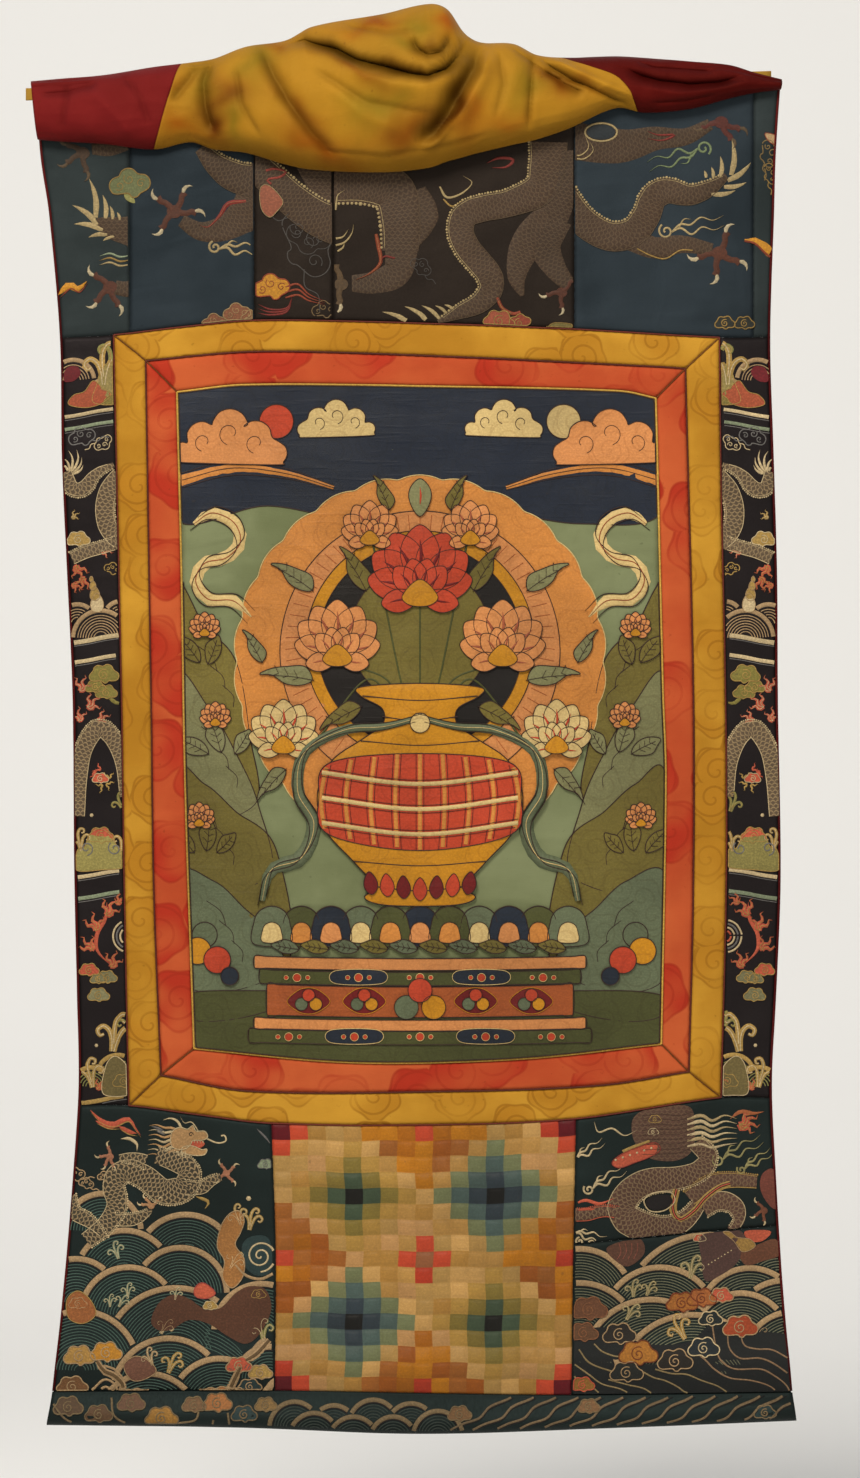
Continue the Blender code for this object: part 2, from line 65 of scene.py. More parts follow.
rings = {
    "mount": {
        "left": [(275, -342), (680, -333), (890, -330), (1135, -325)],
        "right": [(278, 334), (446, 336), (680, 341), (875, 342), (1126, 336)],
        "top": headingSeam, "bottom": lowerSeam,
    },
    "borders": {
        "left": [(304, -306), (678, -300), (892, -297), (1101, -289)],
        "right": [(313, 296), (678, 305), (892, 305), (1097, 300)],
        "top": [(-306, 304), (-181, 294), (10, 299), (270, 311), (296, 313)],
        "bottom": [(-289, 1101), (-194, 1118), (10, 1119), (200, 1112), (300, 1097)],
    },
    "picture": {
        "left": [(339, -271), (537, -266), (769, -262), (1071, -252)],
        "right": [(346, 263), (678, 271), (769, 274), (1066, 269)],
        "top": [(-271, 339), (-194, 331), (10, 333), (224, 338), (263, 346)],
        "bottom": [(-252, 1071), (-78, 1086), (101, 1083), (269, 1066)],
    },
}
hang = {  # how far it stands forward, as in the solids, and its small unevenness
    "tall": 1455.0, "halfWide": 400.0, "topHeld": 110.0, "belly": 12.0, "sideCurl": 11.0, "uneven": 0.55,
    "ripple": 1.6, "rippleWide": 310.0, "rippleTall": 260.0, "rippleEnds": 1295.0,
    "swell": 7.0, "swellAt": 1424.0, "swellReach": 24.0, "crease": 3.0, "creaseAt": 1219.0, "creaseReach": 13.0,
    "creaseFrom": (-200, -150), "creaseTo": (180, 270),
}
roller = {"radius": 12.5, "sewn": 3.5, "clear": 1.8, "behind": 0.7}  # what the bottom sleeve is sewn round
unevenWaves = [  # across and down turns per mm, start, share
    (math.cos(a) / w, math.sin(a) / w, chance.uniform(0, 6.28), share)
    for w, share in ((38, 0.5), (47, 0.6), (61, 0.8), (74, 0.9), (96, 1.2), (118, 1.3), (150, 1.4))
    for a in (chance.uniform(0, 3.14), chance.uniform(0, 3.14))
]


def curveAt(points, at):  # a smooth curve through (place, value) pairs, straight past its ends
    x, y = (np.array(part, float) for part in zip(*points))
    at = np.asarray(at, float)
    slopes = np.diff(y) / np.diff(x)
    middle = (y[2:] - y[:-2]) / (x[2:] - x[:-2])
    turn = np.concatenate([slopes[:1], middle, slopes[-1:]])
    i = np.clip(np.searchsorted(x, at, side="left") - 1, 0, len(x) - 2)
    wide = x[i + 1] - x[i]
    s = (at - x[i]) / wide
    inside = np.clip(s, 0, 1)
    rise = inside * inside * (3 - 2 * inside)
    bend = inside * (1 - inside) * wide * (turn[i] * (1 - inside) - turn[i + 1] * inside)
    value = y[i] + (y[i + 1] - y[i]) * rise + bend
    value = value + np.where(s < 0, turn[i] * (at - x[i]), 0)
    return value + np.where(s > 1, turn[i + 1] * (at - x[i + 1]), 0)


def smooth(low, high, value):
    s = np.clip((value - low) / (high - low), 0, 1)
    return s * s * (3 - 2 * s)


def standsForward(x, d):
    x, d = np.asarray(x, float), np.asarray(d, float)
    fall = np.clip(d / hang["tall"], 0, 1)
    side = np.clip(abs(x) / hang["halfWide"], 0, 1)
    belly = hang["belly"] * np.sin(math.pi * fall) * (1 - side ** 2)
    curl = -hang["sideCurl"] * np.sin(math.pi * fall) * side ** 4
    held = 1 - smooth(hang["rippleEnds"], hang["tall"], d)
    ripple = hang["ripple"] * np.sin(2 * math.pi * x / hang["rippleWide"] + d / hang["rippleTall"]) * held
    swell = hang["swell"] * np.exp(-(((d - hang["swellAt"]) / hang["swellReach"]) ** 2))
    inDoor = smooth(*hang["creaseFrom"], x) * (1 - smooth(*hang["creaseTo"], x))
    crease = hang["crease"] * inDoor * np.exp(-(((d - hang["creaseAt"]) / hang["creaseReach"]) ** 2))
    uneven = sum(share * np.sin(2 * math.pi * (x * a + d * b) + start) for a, b, start, share in unevenWaves)
    small = hang["uneven"] * uneven / 2.2 * (0.35 + 0.65 * held)
    return smooth(0, hang["topHeld"], d) * (belly + curl + ripple + swell + crease + small)


def sleeveRound(x, top):  # the middle of the sleeve's round, and the angle where the cloth leaves it
    centre = curveAt(sleeveBottom, x) - roller["radius"]
    drop = centre - top - roller["sewn"]
    far = np.hypot(roller["clear"], drop)
    return centre, np.arctan2(roller["clear"], drop) + np.arccos(roller["radius"] / far)


def sleeveFront(x, d):  # how far the sleeve's front stands out below its seam
    top, radius, sewn, clear = curveAt(sleeveSeam, x), roller["radius"], roller["sewn"], roller["clear"]
    centre, leave = sleeveRound(x, top)
    tangent = centre - radius * np.cos(leave)
    share = np.clip((d - top - sewn) / (tangent - top - sewn), 0, 1)
    straight = clear + (radius * np.sin(leave) - clear) * share
    return np.where(d < tangent, straight, np.sqrt(np.maximum(radius ** 2 - (centre - d) ** 2, 0)))


def hangPoint(x, d, lift):  # a spot on the hanging's face in metres, or lifted off it
    x, d = np.asarray(x, float), np.asarray(d, float)
    sleeve = standsForward(x, np.full_like(x, hang["tall"])) - roller["behind"] + sleeveFront(x, d)
    face = np.where(d < curveAt(sleeveSeam, x) + 0.2, standsForward(x, d), sleeve)
    return np.stack([x, -(face + lift), -d], -1) * mm


# materials

def feed(socket, value):  # links a node's socket to another's, or sets it
    if isinstance(value, bpy.types.NodeSocket):
        socket.id_data.links.new(value, socket)
    elif hasattr(value, "__len__") and len(socket.default_value) == 4:
        socket.default_value = (*value[:3], 1)
    else:
        socket.default_value = value


def addNode(tree, kind, **values):
    node = tree.nodes.new(kind)
    for name, value in values.items():
        if hasattr(node, name):
            setattr(node, name, value)
        else:
            feed(node.inputs[name], value)
    return node


def treeOf(values):
    return next(value.id_data for value in values if isinstance(value, bpy.types.NodeSocket))


def sumOf(operation, *values, kind="ShaderNodeMath"):
    node = addNode(treeOf(values), kind, operation=operation)
    for socket, value in zip(node.inputs, values):
        feed(socket, value)
    return node.outputs[0]


def vectorSum(operation, *values):
    return sumOf(operation, *values, kind="ShaderNodeVectorMath")


def plus(a, b):
    return sumOf("ADD", a, b)


def less(a, b):
    return sumOf("SUBTRACT", a, b)


def times(a, b):
    return sumOf("MULTIPLY", a, b)


def mixColour(factor, a, b, how="MIX"):
    node = addNode(treeOf((factor, a, b)), "ShaderNodeMix", data_type="RGBA", blend_type=how)
    for n, value in ((0, factor), (6, a), (7, b)):
        feed(node.inputs[n], value)
    return node.outputs[2]


def shaded(colour, tone):  # a colour times a grey
    grey = addNode(tone.id_data, "ShaderNodeCombineColor")
    for socket in grey.inputs:
        feed(socket, tone)
    return mixColour(1.0, colour, grey.outputs[0], "MULTIPLY")


def rampOf(value, *stops):  # from low, from high, to low, to high
    node = addNode(value.id_data, "ShaderNodeMapRange", interpolation_type="SMOOTHSTEP")
    for socket, number in zip(node.inputs, (value, *stops)):
        feed(socket, number)
    return node.outputs[0]


def noiseOf(vector, scale, detail=2.0, roughness=0.5):
    return addNode(vector.id_data, "ShaderNodeTexNoise", Vector=vector, Scale=scale, Detail=detail,
                   Roughness=roughness).outputs[0]


def splitOf(vector):
    return addNode(vector.id_data, "ShaderNodeSeparateXYZ", Vector=vector).outputs


def newGroup(name, numbers, outputs):  # a shared effect: its vector and numbers go in, values come out
    tree = bpy.data.node_groups.new(name, "ShaderNodeTree")
    tree.interface.new_socket(name="Vector", in_out="INPUT", socket_type="NodeSocketVector")
    for label, start in numbers.items():
        socket = tree.interface.new_socket(name=label, in_out="INPUT", socket_type="NodeSocketFloat")
        socket.default_value = start
    for label in outputs:
        tree.interface.new_socket(name=label, in_out="OUTPUT", socket_type="NodeSocketFloat")
    return tree, tree.nodes.new("NodeGroupInput").outputs, tree.nodes.new("NodeGroupOutput").inputs


fullTurn = 6.2832


def makeThreads():  # crossing silk threads: height for bump, and a faint shade
    tree, given, out = newGroup("silk threads", {"Thread": 0.0006, "Slub": 0.3}, ["Height", "Shade"])
    turns = sumOf("DIVIDE", fullTurn, given["Thread"])
    across, along = (sumOf("SINE", times(part, turns)) for part in splitOf(given["Vector"])[:2])
    weave = times(across, along)
    stretched = addNode(tree, "ShaderNodeMapping", Vector=given["Vector"], Scale=(60, 1500, 1500)).outputs[0]
    slubs = times(less(noiseOf(stretched, 1.0, 1.0), 0.5), given["Slub"])
    feed(out["Height"], plus(times(weave, 0.35), times(slubs, 2.0)))
    feed(out["Shade"], plus(1.0, plus(times(weave, 0.04), slubs)))
    return tree


def makeAge():  # faded, soiled and rubbed places of old silk
    tree, given, out = newGroup("old silk", {"Size": 9.0}, ["Tone", "Stain", "Rub"])
    vector = given["Vector"]
    wide, sized = noiseOf(vector, 5.0, 3.0), noiseOf(vector, given["Size"], 4.0, 0.6)
    feed(out["Tone"], plus(rampOf(wide, 0.3, 0.7, 0.86, 1.1), rampOf(sized, 0.3, 0.7, -0.07, 0.07)))
    feed(out["Stain"], rampOf(noiseOf(vector, 160.0), 0.68, 0.78, 0.0, 1.0))
    feed(out["Rub"], rampOf(noiseOf(vector, 420.0, 3.0, 0.7), 0.35, 0.75, 0.0, 1.0))
    return tree


def makeScrolls():  # tone-on-tone damask clouds: bodies, and the spiral lines in them
    tree, given, out = newGroup("damask clouds", {"Cell": 0.05, "Turns": 26.0, "Shift": 0.0}, ["Cloud", "Line"])
    moved = vectorSum("ADD", vectorSum("DIVIDE", given["Vector"], given["Cell"]), given["Shift"])
    cells = addNode(tree, "ShaderNodeTexVoronoi", voronoi_dimensions="2D", feature="F1", Vector=moved, Scale=1.0,
                    Randomness=0.75).outputs
    across, along, _ = splitOf(vectorSum("SUBTRACT", moved, cells["Position"]))
    angle, reach = sumOf("ARCTAN2", along, across), cells["Distance"]
    edge = plus(reach, times(sumOf("SINE", times(angle, 5.0)), 0.035))
    cloud = rampOf(edge, 0.42, 0.45, 1.0, 0.0)
    winding = sumOf("SINE", plus(angle, times(reach, given["Turns"])))
    rim = less(rampOf(edge, 0.40, 0.42, 0.0, 1.0), rampOf(edge, 0.44, 0.46, 0.0, 1.0))
    feed(out["Cloud"], cloud)
    feed(out["Line"], sumOf("MAXIMUM", times(rampOf(winding, 0.72, 0.9, 0.0, 1.0), cloud), rim))
    return tree


def makeCreases():  # soft creases and pulls in hanging silk
    tree, given, out = newGroup("silk creases", {}, ["Height"])
    bent = addNode(tree, "ShaderNodeTexNoise", Vector=given["Vector"], Scale=9.0, Detail=1.0).outputs["Color"]
    moved = vectorSum("MULTIPLY_ADD", bent, (0.05, 0.05, 0.05), given["Vector"])
    heights = []
    for turn, scale in ((0.5, (20, 7, 1)), (-0.4, (8, 26, 1)), (1.1, (46, 15, 1))):
        turned = addNode(tree, "ShaderNodeMapping", Vector=moved, Scale=scale, Rotation=(0, 0, turn)).outputs[0]
        wave = sumOf("ABSOLUTE", less(noiseOf(turned, 1.0, 1.0), 0.5))
        heights.append(times(rampOf(wave, 0.0, 0.16, 1.0, 0.0), 60.0 / scale[0] ** 0.5))
    feed(out["Height"], plus(plus(heights[0], heights[1]), heights[2]))
    return tree


threadsGroup, ageGroup, scrollsGroup, creasesGroup = makeThreads(), makeAge(), makeScrolls(), makeCreases()


def useGroup(group, vector, **values):
    return addNode(vector.id_data, "ShaderNodeGroup", node_tree=group, Vector=vector, **values).outputs


def dye(red, green, blue, depth=0.56):  # a colour as it looks from 0 to 255, and its depth under the lamps
    return tuple((c / 255) ** 2.2 * depth for c in (red, green, blue))


def startSilk(name, roughness, sheen, tint, thread, slub, size=9.0):
    material = bpy.data.materials.new(name)
    material.use_nodes = True
    tree = material.node_tree
    shader = tree.nodes["Principled BSDF"]
    for label, value in (("Roughness", roughness), ("Sheen Weight", sheen), ("Sheen Roughness", 0.35),
                         ("Sheen Tint", tint), ("Specular IOR Level", 0.16),
                         ("Specular Tint", [c / max(tint) for c in tint])):
        feed(shader.inputs[label], value)
    uv = addNode(tree, "ShaderNodeUVMap", uv_map="cloth").outputs[0]
    age = useGroup(ageGroup, uv, Size=size)
    threads = useGroup(threadsGroup, uv, Thread=thread, Slub=slub)
    return material, shader, uv, age, threads


def finishSilk(shader, colour, rough, rub, age, uv, height, creases, bump):
    feed(shader.inputs["Base Color"], colour)
    feed(shader.inputs["Roughness"], plus(rough, times(age["Rub"], rub)))
    height = plus(height, times(useGroup(creasesGroup, uv)["Height"], creases))
    relief = addNode(uv.id_data, "ShaderNodeBump", Strength=bump, Distance=0.0004, Height=height)
    feed(shader.inputs["Normal"], relief.outputs[0])


def clothMaterial(name, base, shade, roughness=0.6, sheen=0.05, thread=0.0007, slub=0.12, bump=0.25, scrolls=None,
                  creases=0.16):
    # woven silk: base and shade colours, aged, with damask clouds if it has them
    material, shader, uv, age, threads = startSilk(name, roughness, sheen, base, thread, slub)
    colour = mixColour(rampOf(age["Tone"], 0.85, 1.12, 0.0, 1.0), shade, base)
    height = threads["Height"]
    if scrolls:
        clouds = useGroup(scrollsGroup, uv, Cell=scrolls["cell"], Turns=scrolls["turns"], Shift=scrolls["shift"])
        soft = noiseOf(uv, 14.0, 1.0)
        amount = times(clouds["Cloud"], rampOf(soft, 0.35, 0.6, 0.1, scrolls["body"]))
        colour = mixColour(amount, colour, scrolls["cloud"])
        lines = times(clouds["Line"], rampOf(soft, 0.35, 0.55, 0.2, scrolls["line"]))
        colour = mixColour(lines, colour, scrolls["cord"])
        height = plus(height, times(clouds["Line"], 1.2))
    colour = mixColour(times(age["Stain"], 0.35), colour, tuple(c * 0.35 for c in shade))
    finishSilk(shader, shaded(colour, threads["Shade"]), roughness - 0.06, 0.14, age, uv, height, creases, bump)
    return material


def workMaterial(name, roughness, sheen, thread, bump, fade=0.2):  # silk in many dyes, from the piece's own colours
    material, shader, uv, age, threads = startSilk(name, roughness, sheen, (1, 0.95, 0.85), thread, 0.25, 26.0)
    dyes = addNode(uv.id_data, "ShaderNodeAttribute", attribute_name="dye").outputs["Color"]
    tone = times(times(age["Tone"], threads["Shade"]), rampOf(age["Rub"], 0.0, 1.0, 1.0 - fade, 1.0 + fade))
    colour = mixColour(times(age["Stain"], 0.3), shaded(dyes, tone), (0.03, 0.02, 0.015))
    finishSilk(shader, colour, roughness - 0.05, 0.12, age, uv, threads["Height"], 0.12, bump)
    return material


plain = {"sheen": 0.08, "roughness": 0.6}
damask = {"sheen": 0.08, "thread": 0.0006, "slub": 0.08, "bump": 0.3}
cloths = {
    "slate": clothMaterial("slate brocade", dye(45, 50, 50), dye(34, 38, 38), 0.62),
    "blue": clothMaterial("blue brocade", dye(43, 49, 53), dye(33, 38, 41)),
    "black": clothMaterial("black brocade", dye(33, 29, 26), dye(26, 23, 21), 0.66),
    "night": clothMaterial("night blue brocade", dye(22, 20, 20), dye(17, 16, 16)),
    "deep": clothMaterial("deep green brocade", dye(29, 34, 33), dye(24, 26, 25), 0.62),
    "yellow": clothMaterial("yellow damask", dye(206, 151, 56), dye(176, 122, 42), 0.46, **damask, scrolls={
        "cell": 0.062, "turns": 30.0, "shift": 3.3, "cloud": dye(182, 124, 42), "body": 0.8, "cord": dye(142, 92, 32),
        "line": 0.5,
    }),
    "red": clothMaterial("red damask", dye(203, 98, 58), dye(184, 78, 48), 0.48, **damask, scrolls={
        "cell": 0.078, "turns": 34.0, "shift": 9.1, "cloud": dye(178, 54, 40), "body": 0.95,
        "cord": dye(158, 50, 36), "line": 0.5,
    }),
    "picture": clothMaterial("picture ground silk", dye(128, 134, 98), dye(108, 114, 80), 0.5, 0.08, creases=0.4),
    "reverse": clothMaterial("reverse of the silk", dye(116, 102, 80), dye(108, 94, 74), 0.8, 0.03),
    "tape": clothMaterial("yellow tape", dye(178, 138, 60), dye(150, 110, 44), **plain),
    "binding": clothMaterial("red binding", dye(86, 32, 31), dye(60, 22, 23), **plain),
}
print("materials made")


# laying the cloths

def putOn(piece, nodes=()):
    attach(piece, "root")
    if nodes:
        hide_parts(*nodes)


def cornersOf(mesh):
    corners = np.empty(len(mesh.loops), int)
    mesh.loops.foreach_get("vertex_index", corners)
    return corners


def meshUv(mesh, uv, name="cloth"):  # uv for every point, in metres of cloth
    mesh.uv_layers.new(name=name).data.foreach_set("uv", uv[cornersOf(mesh)].ravel())


def meshDyes(mesh, colours, domain="CORNER"):
    mesh.color_attributes.new("dye", "FLOAT_COLOR", domain).data.foreach_set("color", colours.ravel())


def addObject(name, data):
    thing = bpy.data.objects.new(name, data)
    bpy.context.scene.collection.objects.link(thing)
    return thing


def useModifier(piece, kind, **values):
    modifier = piece.modifiers.new(kind.lower(), kind)
    for name, value in values.items():
        setattr(modifier, name, value)
    bpy.context.view_layer.objects.active = piece
    bpy.ops.object.modifier_apply(modifier=modifier.name)


def gridCloth(name, columns, rows, placeOf, materials, thickness):
    bpy.ops.object.select_all(action="DESELECT")
    bpy.ops.mesh.primitive_grid_add(x_subdivisions=columns, y_subdivisions=rows, size=1)
    cloth = bpy.context.object
    cloth.name = cloth.data.name = name
    flat = np.empty(len(cloth.data.vertices) * 3)
    cloth.data.vertices.foreach_get("co", flat)
    s, t = flat[0::3] + 0.5, 0.5 - flat[1::3]
    place, uv = placeOf(s, t)
    cloth.data.vertices.foreach_set("co", place.ravel())
    while cloth.data.uv_layers:
        cloth.data.uv_layers.remove(cloth.data.uv_layers[0])
    meshUv(cloth.data, uv)
    for material in materials:
        cloth.data.materials.append(material)
    useModifier(cloth, "SOLIDIFY", thickness=thickness * mm, offset=-1, material_offset=len(materials) - 1)
    bpy.ops.object.shade_smooth()
    return cloth


def spotOf(left, right, top, bottom, s, t):  # a share across and down between four curves
    x, d = np.zeros_like(s), np.full_like(s, hang["tall"] // 2)
    for _ in range(14):
        l, r = curveAt(left, d), curveAt(right, d)
        x = l + (r - l) * s
        a, b = curveAt(top, x), curveAt(bottom, x)
        d = a + (b - a) * t
    return x, d


seams = {"dip": 1.1, "width": 2.6, "pucker": 0.32, "pitch": 11.0, "reach": 9.0}  # how sewn edges lie


def sewnLift(s, t, wide, tall):  # a sewn edge turns down into its seam, with small puckers beside it
    gap = np.minimum(np.minimum(s, 1 - s) * wide, np.minimum(t, 1 - t) * tall)
    upright = np.minimum(s, 1 - s) * wide < np.minimum(t, 1 - t) * tall
    run = np.where(upright, t * tall, s * wide)
    puckers = np.sin(run * fullTurn / seams["pitch"] + 1.7 * np.sin(run / 23)) * np.exp(-gap / seams["reach"])
    return -seams["dip"] * np.exp(-((gap / seams["width"]) ** 2)) + seams["pucker"] * puckers


clothSheet = {"cell": 5.0, "pictureCell": 8.0, "thickness": 1.4, "binding": 1.6}


def laySheet(name, node, slotName, columns, rows, placeOf, cloth, wide, tall):
    sheet = gridCloth(name, columns, rows, placeOf, [cloth, cloths["reverse"]], clothSheet["thickness"])
    putOn(sheet, [node])


def layPanel(name, node, slotName, left, right, top, bottom, cloth, cell=clothSheet["cell"]):
    probeS, probeT = np.array([0.0, 1.0, 0.5, 0.5]), np.array([0.5, 0.5, 0.0, 1.0])
    x, d = spotOf(left, right, top, bottom, probeS, probeT)
    wide, tall = x[1] - x[0], d[3] - d[2]

    def placeOf(s, t):
        x, d = spotOf(left, right, top, bottom, s, t)
        x = x + (s - 0.5) * 0.5
        return hangPoint(x, d, sewnLift(s, t, wide, tall)), np.stack([x, -d], -1) * mm

    laySheet(name, node, slotName, math.ceil(wide / cell), math.ceil(tall / cell), placeOf, cloth, wide, tall)


def always(value):
    return [(-100, value), (1600, value)]


def ringCorner(ring, upright, level):
    x, d = 0.0, float(curveAt(rings[ring][level], 0))
    for _ in range(14):
        x = float(curveAt(rings[ring][upright], d))
        d = float(curveAt(rings[ring][level], x))
    return x, d


def alongRing(ring, side, share):
    edge = rings[ring][side]
    if side in ("top", "bottom"):
        start, end = ringCorner(ring, "left", side), ringCorner(ring, "right", side)
        x = start[0] + (end[0] - start[0]) * share
        return x, curveAt(edge, x)
    start, end = ringCorner(ring, side, "top"), ringCorner(ring, side, "bottom")
    d = start[1] + (end[1] - start[1]) * share
    return curveAt(edge, d), d


def layBorder(name, node, slotName, outer, inner, side, cloth):  # a mitred strip between two rings
    ends = alongRing(outer, side, np.array([0.0, 1.0]))
    wide = float(np.hypot(*(np.diff(e)[0] for e in ends)))
    ox, od = alongRing(outer, side, np.array([0.5]))
    ix, ind = alongRing(inner, side, np.array([0.5]))
    tall = float(np.hypot(ox - ix, od - ind)[0])
    flip = side in ("right", "bottom")
    turned = side in ("left", "right")

    def placeOf(s, t):
        along, inward = (1 - t, s) if turned else (s, t)
        along = 1 - along if turned else along
        inward = 1 - inward if flip else inward
        ox, od = alongRing(outer, side, along)
        ix, ind = alongRing(inner, side, along)
        x, d = ox + (ix - ox) * inward, od + (ind - od) * inward
        lift = sewnLift(along, inward, wide, tall)
        return hangPoint(x, d, lift), np.stack([x, -d], -1) * mm

    counts = [math.ceil(size / clothSheet["cell"]) for size in (wide, tall)]
    laySheet(name, node, slotName, *(counts[::-1] if turned else counts), placeOf, cloth, wide, tall)


headingCuts = [-324.0, -185.0, -97.0, 172.0, 372.0]
headingCloths = [("slate", "dark_brocade"), ("blue", "blue_brocade"), ("black", "black_brocade"),
                 ("black", "black_brocade"), ("blue", "blue_brocade"), ("slate", "dark_brocade")]
sideNames = ("top", "right", "bottom", "left")


def insetEdge(edge, inward):  # the panels stop at the side binding
    return [(d, x + inward) for d, x in edge]


def layMount():
    leftSide, rightSide = insetEdge(leftEdge, clothSheet["binding"]), insetEdge(rightEdge, -clothSheet["binding"])
    cuts = [leftSide, *[always(x) for x in headingCuts], rightSide]
    for n, (cloth, slotName) in enumerate(headingCloths, 1):
        layPanel(f"heading_width_{n}", f"heading_{n}", slotName, cuts[n - 1], cuts[n], topEdge, headingSeam,
                 cloths[cloth])
    mount, inside = rings["mount"], rings["picture"]
    for side, left, right in (("left", leftSide, mount["left"]), ("right", mount["right"], rightSide)):
        layPanel(f"side_cloth_{side}", f"side_{side}", "black_brocade", left, right, headingSeam, lowerSeam,
                 cloths["night"])
    for side in sideNames:
        layBorder(f"yellow_border_{side}", f"border_yellow_{side}", "yellow_damask", "mount", "borders", side,
                  cloths["yellow"])
        layBorder(f"red_border_{side}", f"border_red_{side}", "red_damask", "borders", "picture", side, cloths["red"])
    layPanel("picture_ground", "picture", "picture_silk",
             *(inside[side] for side in ("left", "right", "top", "bottom")), cloths["picture"],
             clothSheet["pictureCell"])
    for name, node, slotName, *curves in (
        ("lower_cloth_left", "lower_left", "wave_brocade", leftSide, doorLeft, lowerSeam, sleeveSeam),
        ("lower_cloth_right", "lower_right_top", "dark_brocade", doorRight, rightSide, lowerSeam, waveSeam),
        ("wave_cloth_right", "lower_right_waves", "wave_brocade", doorRight, rightSide, waveSeam, sleeveSeam),
    ):
        layPanel(name, node, slotName, *curves, cloths["deep"])
    print("mount laid")


layMount()


# the patchwork door

door = {
    "columns": 17, "rows": 17, "cells": 7, "wide": 20, "tall": 18, "thickness": 1.3, "flat": (0.336, 0.304),
    "groove": 1.2, "grooveReach": 1.1, "puff": 0.7, "puffReach": 9,
    "strayAcross": (0.0022, 31), "strayDown": (0.0026, 27, 1),
    "sand": [dye(176, 132, 70), dye(192, 148, 86), dye(164, 120, 58), dye(182, 136, 84), dye(170, 132, 74)],
    "ochre": [dye(164, 96, 22), dye(182, 114, 26), dye(150, 82, 28), dye(154, 92, 40)],
    "coral": [dye(188, 70, 44), dye(174, 58, 36)],
    "maroon": dye(92, 14, 26), "brown": dye(142, 88, 56),
    "teal": [dye(20, 20, 20), dye(48, 58, 64), dye(74, 90, 84), dye(112, 116, 80)],
    "olive": [dye(22, 22, 20), dye(66, 80, 60), dye(124, 106, 50), dye(166, 128, 62)],
    "stars": [(-4, -4, "olive"), (4, -4, "teal"), (-4, 4, "teal"), (4, 4, "olive")],
}


def patchColour(column, row):  # a square's silk, in a pattern that is the same each way from its middle
    c, r = column - door["columns"] // 2, row - door["rows"] // 2
    across, down = abs(c), abs(r)
    fade = chance.uniform(0.9, 1.08)
    for starC, starR, kind in door["stars"]:
        away = abs(c - starC) + abs(r - starR)
        if away <= 3:
            return tuple(v * fade for v in door[kind][away])
    if across + down == 16:
        return door["maroon"]
    if across + down == 15 or across + down == 1 or (max(across, down) == 8 and min(across, down) == 0):
        return chance.choice(door["coral"])
    if across + down == 0:
        return door["brown"]
    if min(across, down) + 8 - max(across, down) <= 3:
        return tuple(v * fade for v in chance.choice(door["ochre"]))
    return tuple(v * fade for v in chance.choice(door["sand"]))


def stray(place, along, size, waves, start=0):  # how far a seam wavers, dying out at the door's edges
    return size * np.sin(along * waves + start) * np.minimum(1, 20 * np.minimum(place, 1 - place))


def layDoor():
    columns, rows = door["columns"], door["rows"]

    def placeOf(s, t):
        wavedS, wavedT = s + stray(s, t, *door["strayAcross"]), t + stray(t, s, *door["strayDown"])
        x, d = spotOf(doorLeft, doorRight, lowerSeam, sleeveSeam, wavedS, wavedT)
        gapS = np.abs(s * columns - np.round(s * columns)) * door["wide"]
        gapT = np.abs(t * rows - np.round(t * rows)) * door["tall"]
        seam = np.minimum(gapS, gapT)
        groove = door["groove"] * np.exp(-((seam / door["grooveReach"]) ** 2))
        lift = -groove + door["puff"] * np.minimum(1, seam / door["puffReach"])
        return hangPoint(x, d, lift), np.stack([x, -d], -1) * mm

    silks = [workMaterial("patchwork silk", 0.42, 0.08, 0.0006, 0.3, 0.1), cloths["reverse"]]
    patchwork = gridCloth("patchwork_door", columns * door["cells"], rows * door["cells"], placeOf, silks,
                          door["thickness"])
    mesh = patchwork.data
    colours = {(c, r): patchColour(c, r) for c in range(columns) for r in range(rows)}
    uv = np.empty(len(mesh.loops) * 2)
    mesh.uv_layers["cloth"].data.foreach_get("uv", uv)
    tint = np.ones((len(mesh.loops), 4))
    for face in mesh.polygons:
        corners = list(face.loop_indices)
        x = sum(uv[2 * n] for n in corners) / len(corners) / mm
        d = -sum(uv[2 * n + 1] for n in corners) / len(corners) / mm
        left, right = curveAt(doorLeft, d), curveAt(doorRight, d)
        top, bottom = curveAt(lowerSeam, x), curveAt(sleeveSeam, x)
        s, t = float((x - left) / (right - left)), float((d - top) / (bottom - top))
        s -= float(stray(s, t, *door["strayAcross"]))
        t -= float(stray(t, s, *door["strayDown"]))
        key = (min(columns - 1, max(0, int(s * columns))), min(rows - 1, max(0, int(t * rows))))
        tint[corners, :3] = colours[key]
    meshDyes(mesh, tint)
    putOn(patchwork, ["door_patchwork"])
    print("door pieced")


layDoor()


# tape, binding and sleeve

binding = {"inward": 1.2, "wide": 1.45, "deep": 1.25, "end": 1453.0, "thickness": 0.3, "flat": (0.0105, 1.45)}


def layBinding(side):
    way, edge, corner = (1, leftEdge, -425) if side == "left" else (-1, rightEdge, 400)
    start = float(curveAt(topEdge, corner)) + 4

    def placeOf(s, t):
        d = start + (binding["end"] - start) * t
        turn = (s - 0.5) * 2 * math.pi
        x = curveAt(edge, d) + way * binding["inward"] + binding["wide"] * np.sin(turn)
        return hangPoint(x, d, -1.0 + binding["deep"] * np.cos(turn)), np.stack([s * 9 * mm, -d * mm], -1)

    strip = gridCloth(f"edge_binding_{side}", 8, 190, placeOf, [cloths["binding"]], binding["thickness"])
    putOn(strip, [f"binding_{side}"])


tapeFold = {"left": -440, "run": 832.0, "low": -6, "rise": 19.0, "behind": 3.8, "deep": 1.45, "tall": 6.9,
            "thickness": 0.5, "flat": (0.832, 0.030)}


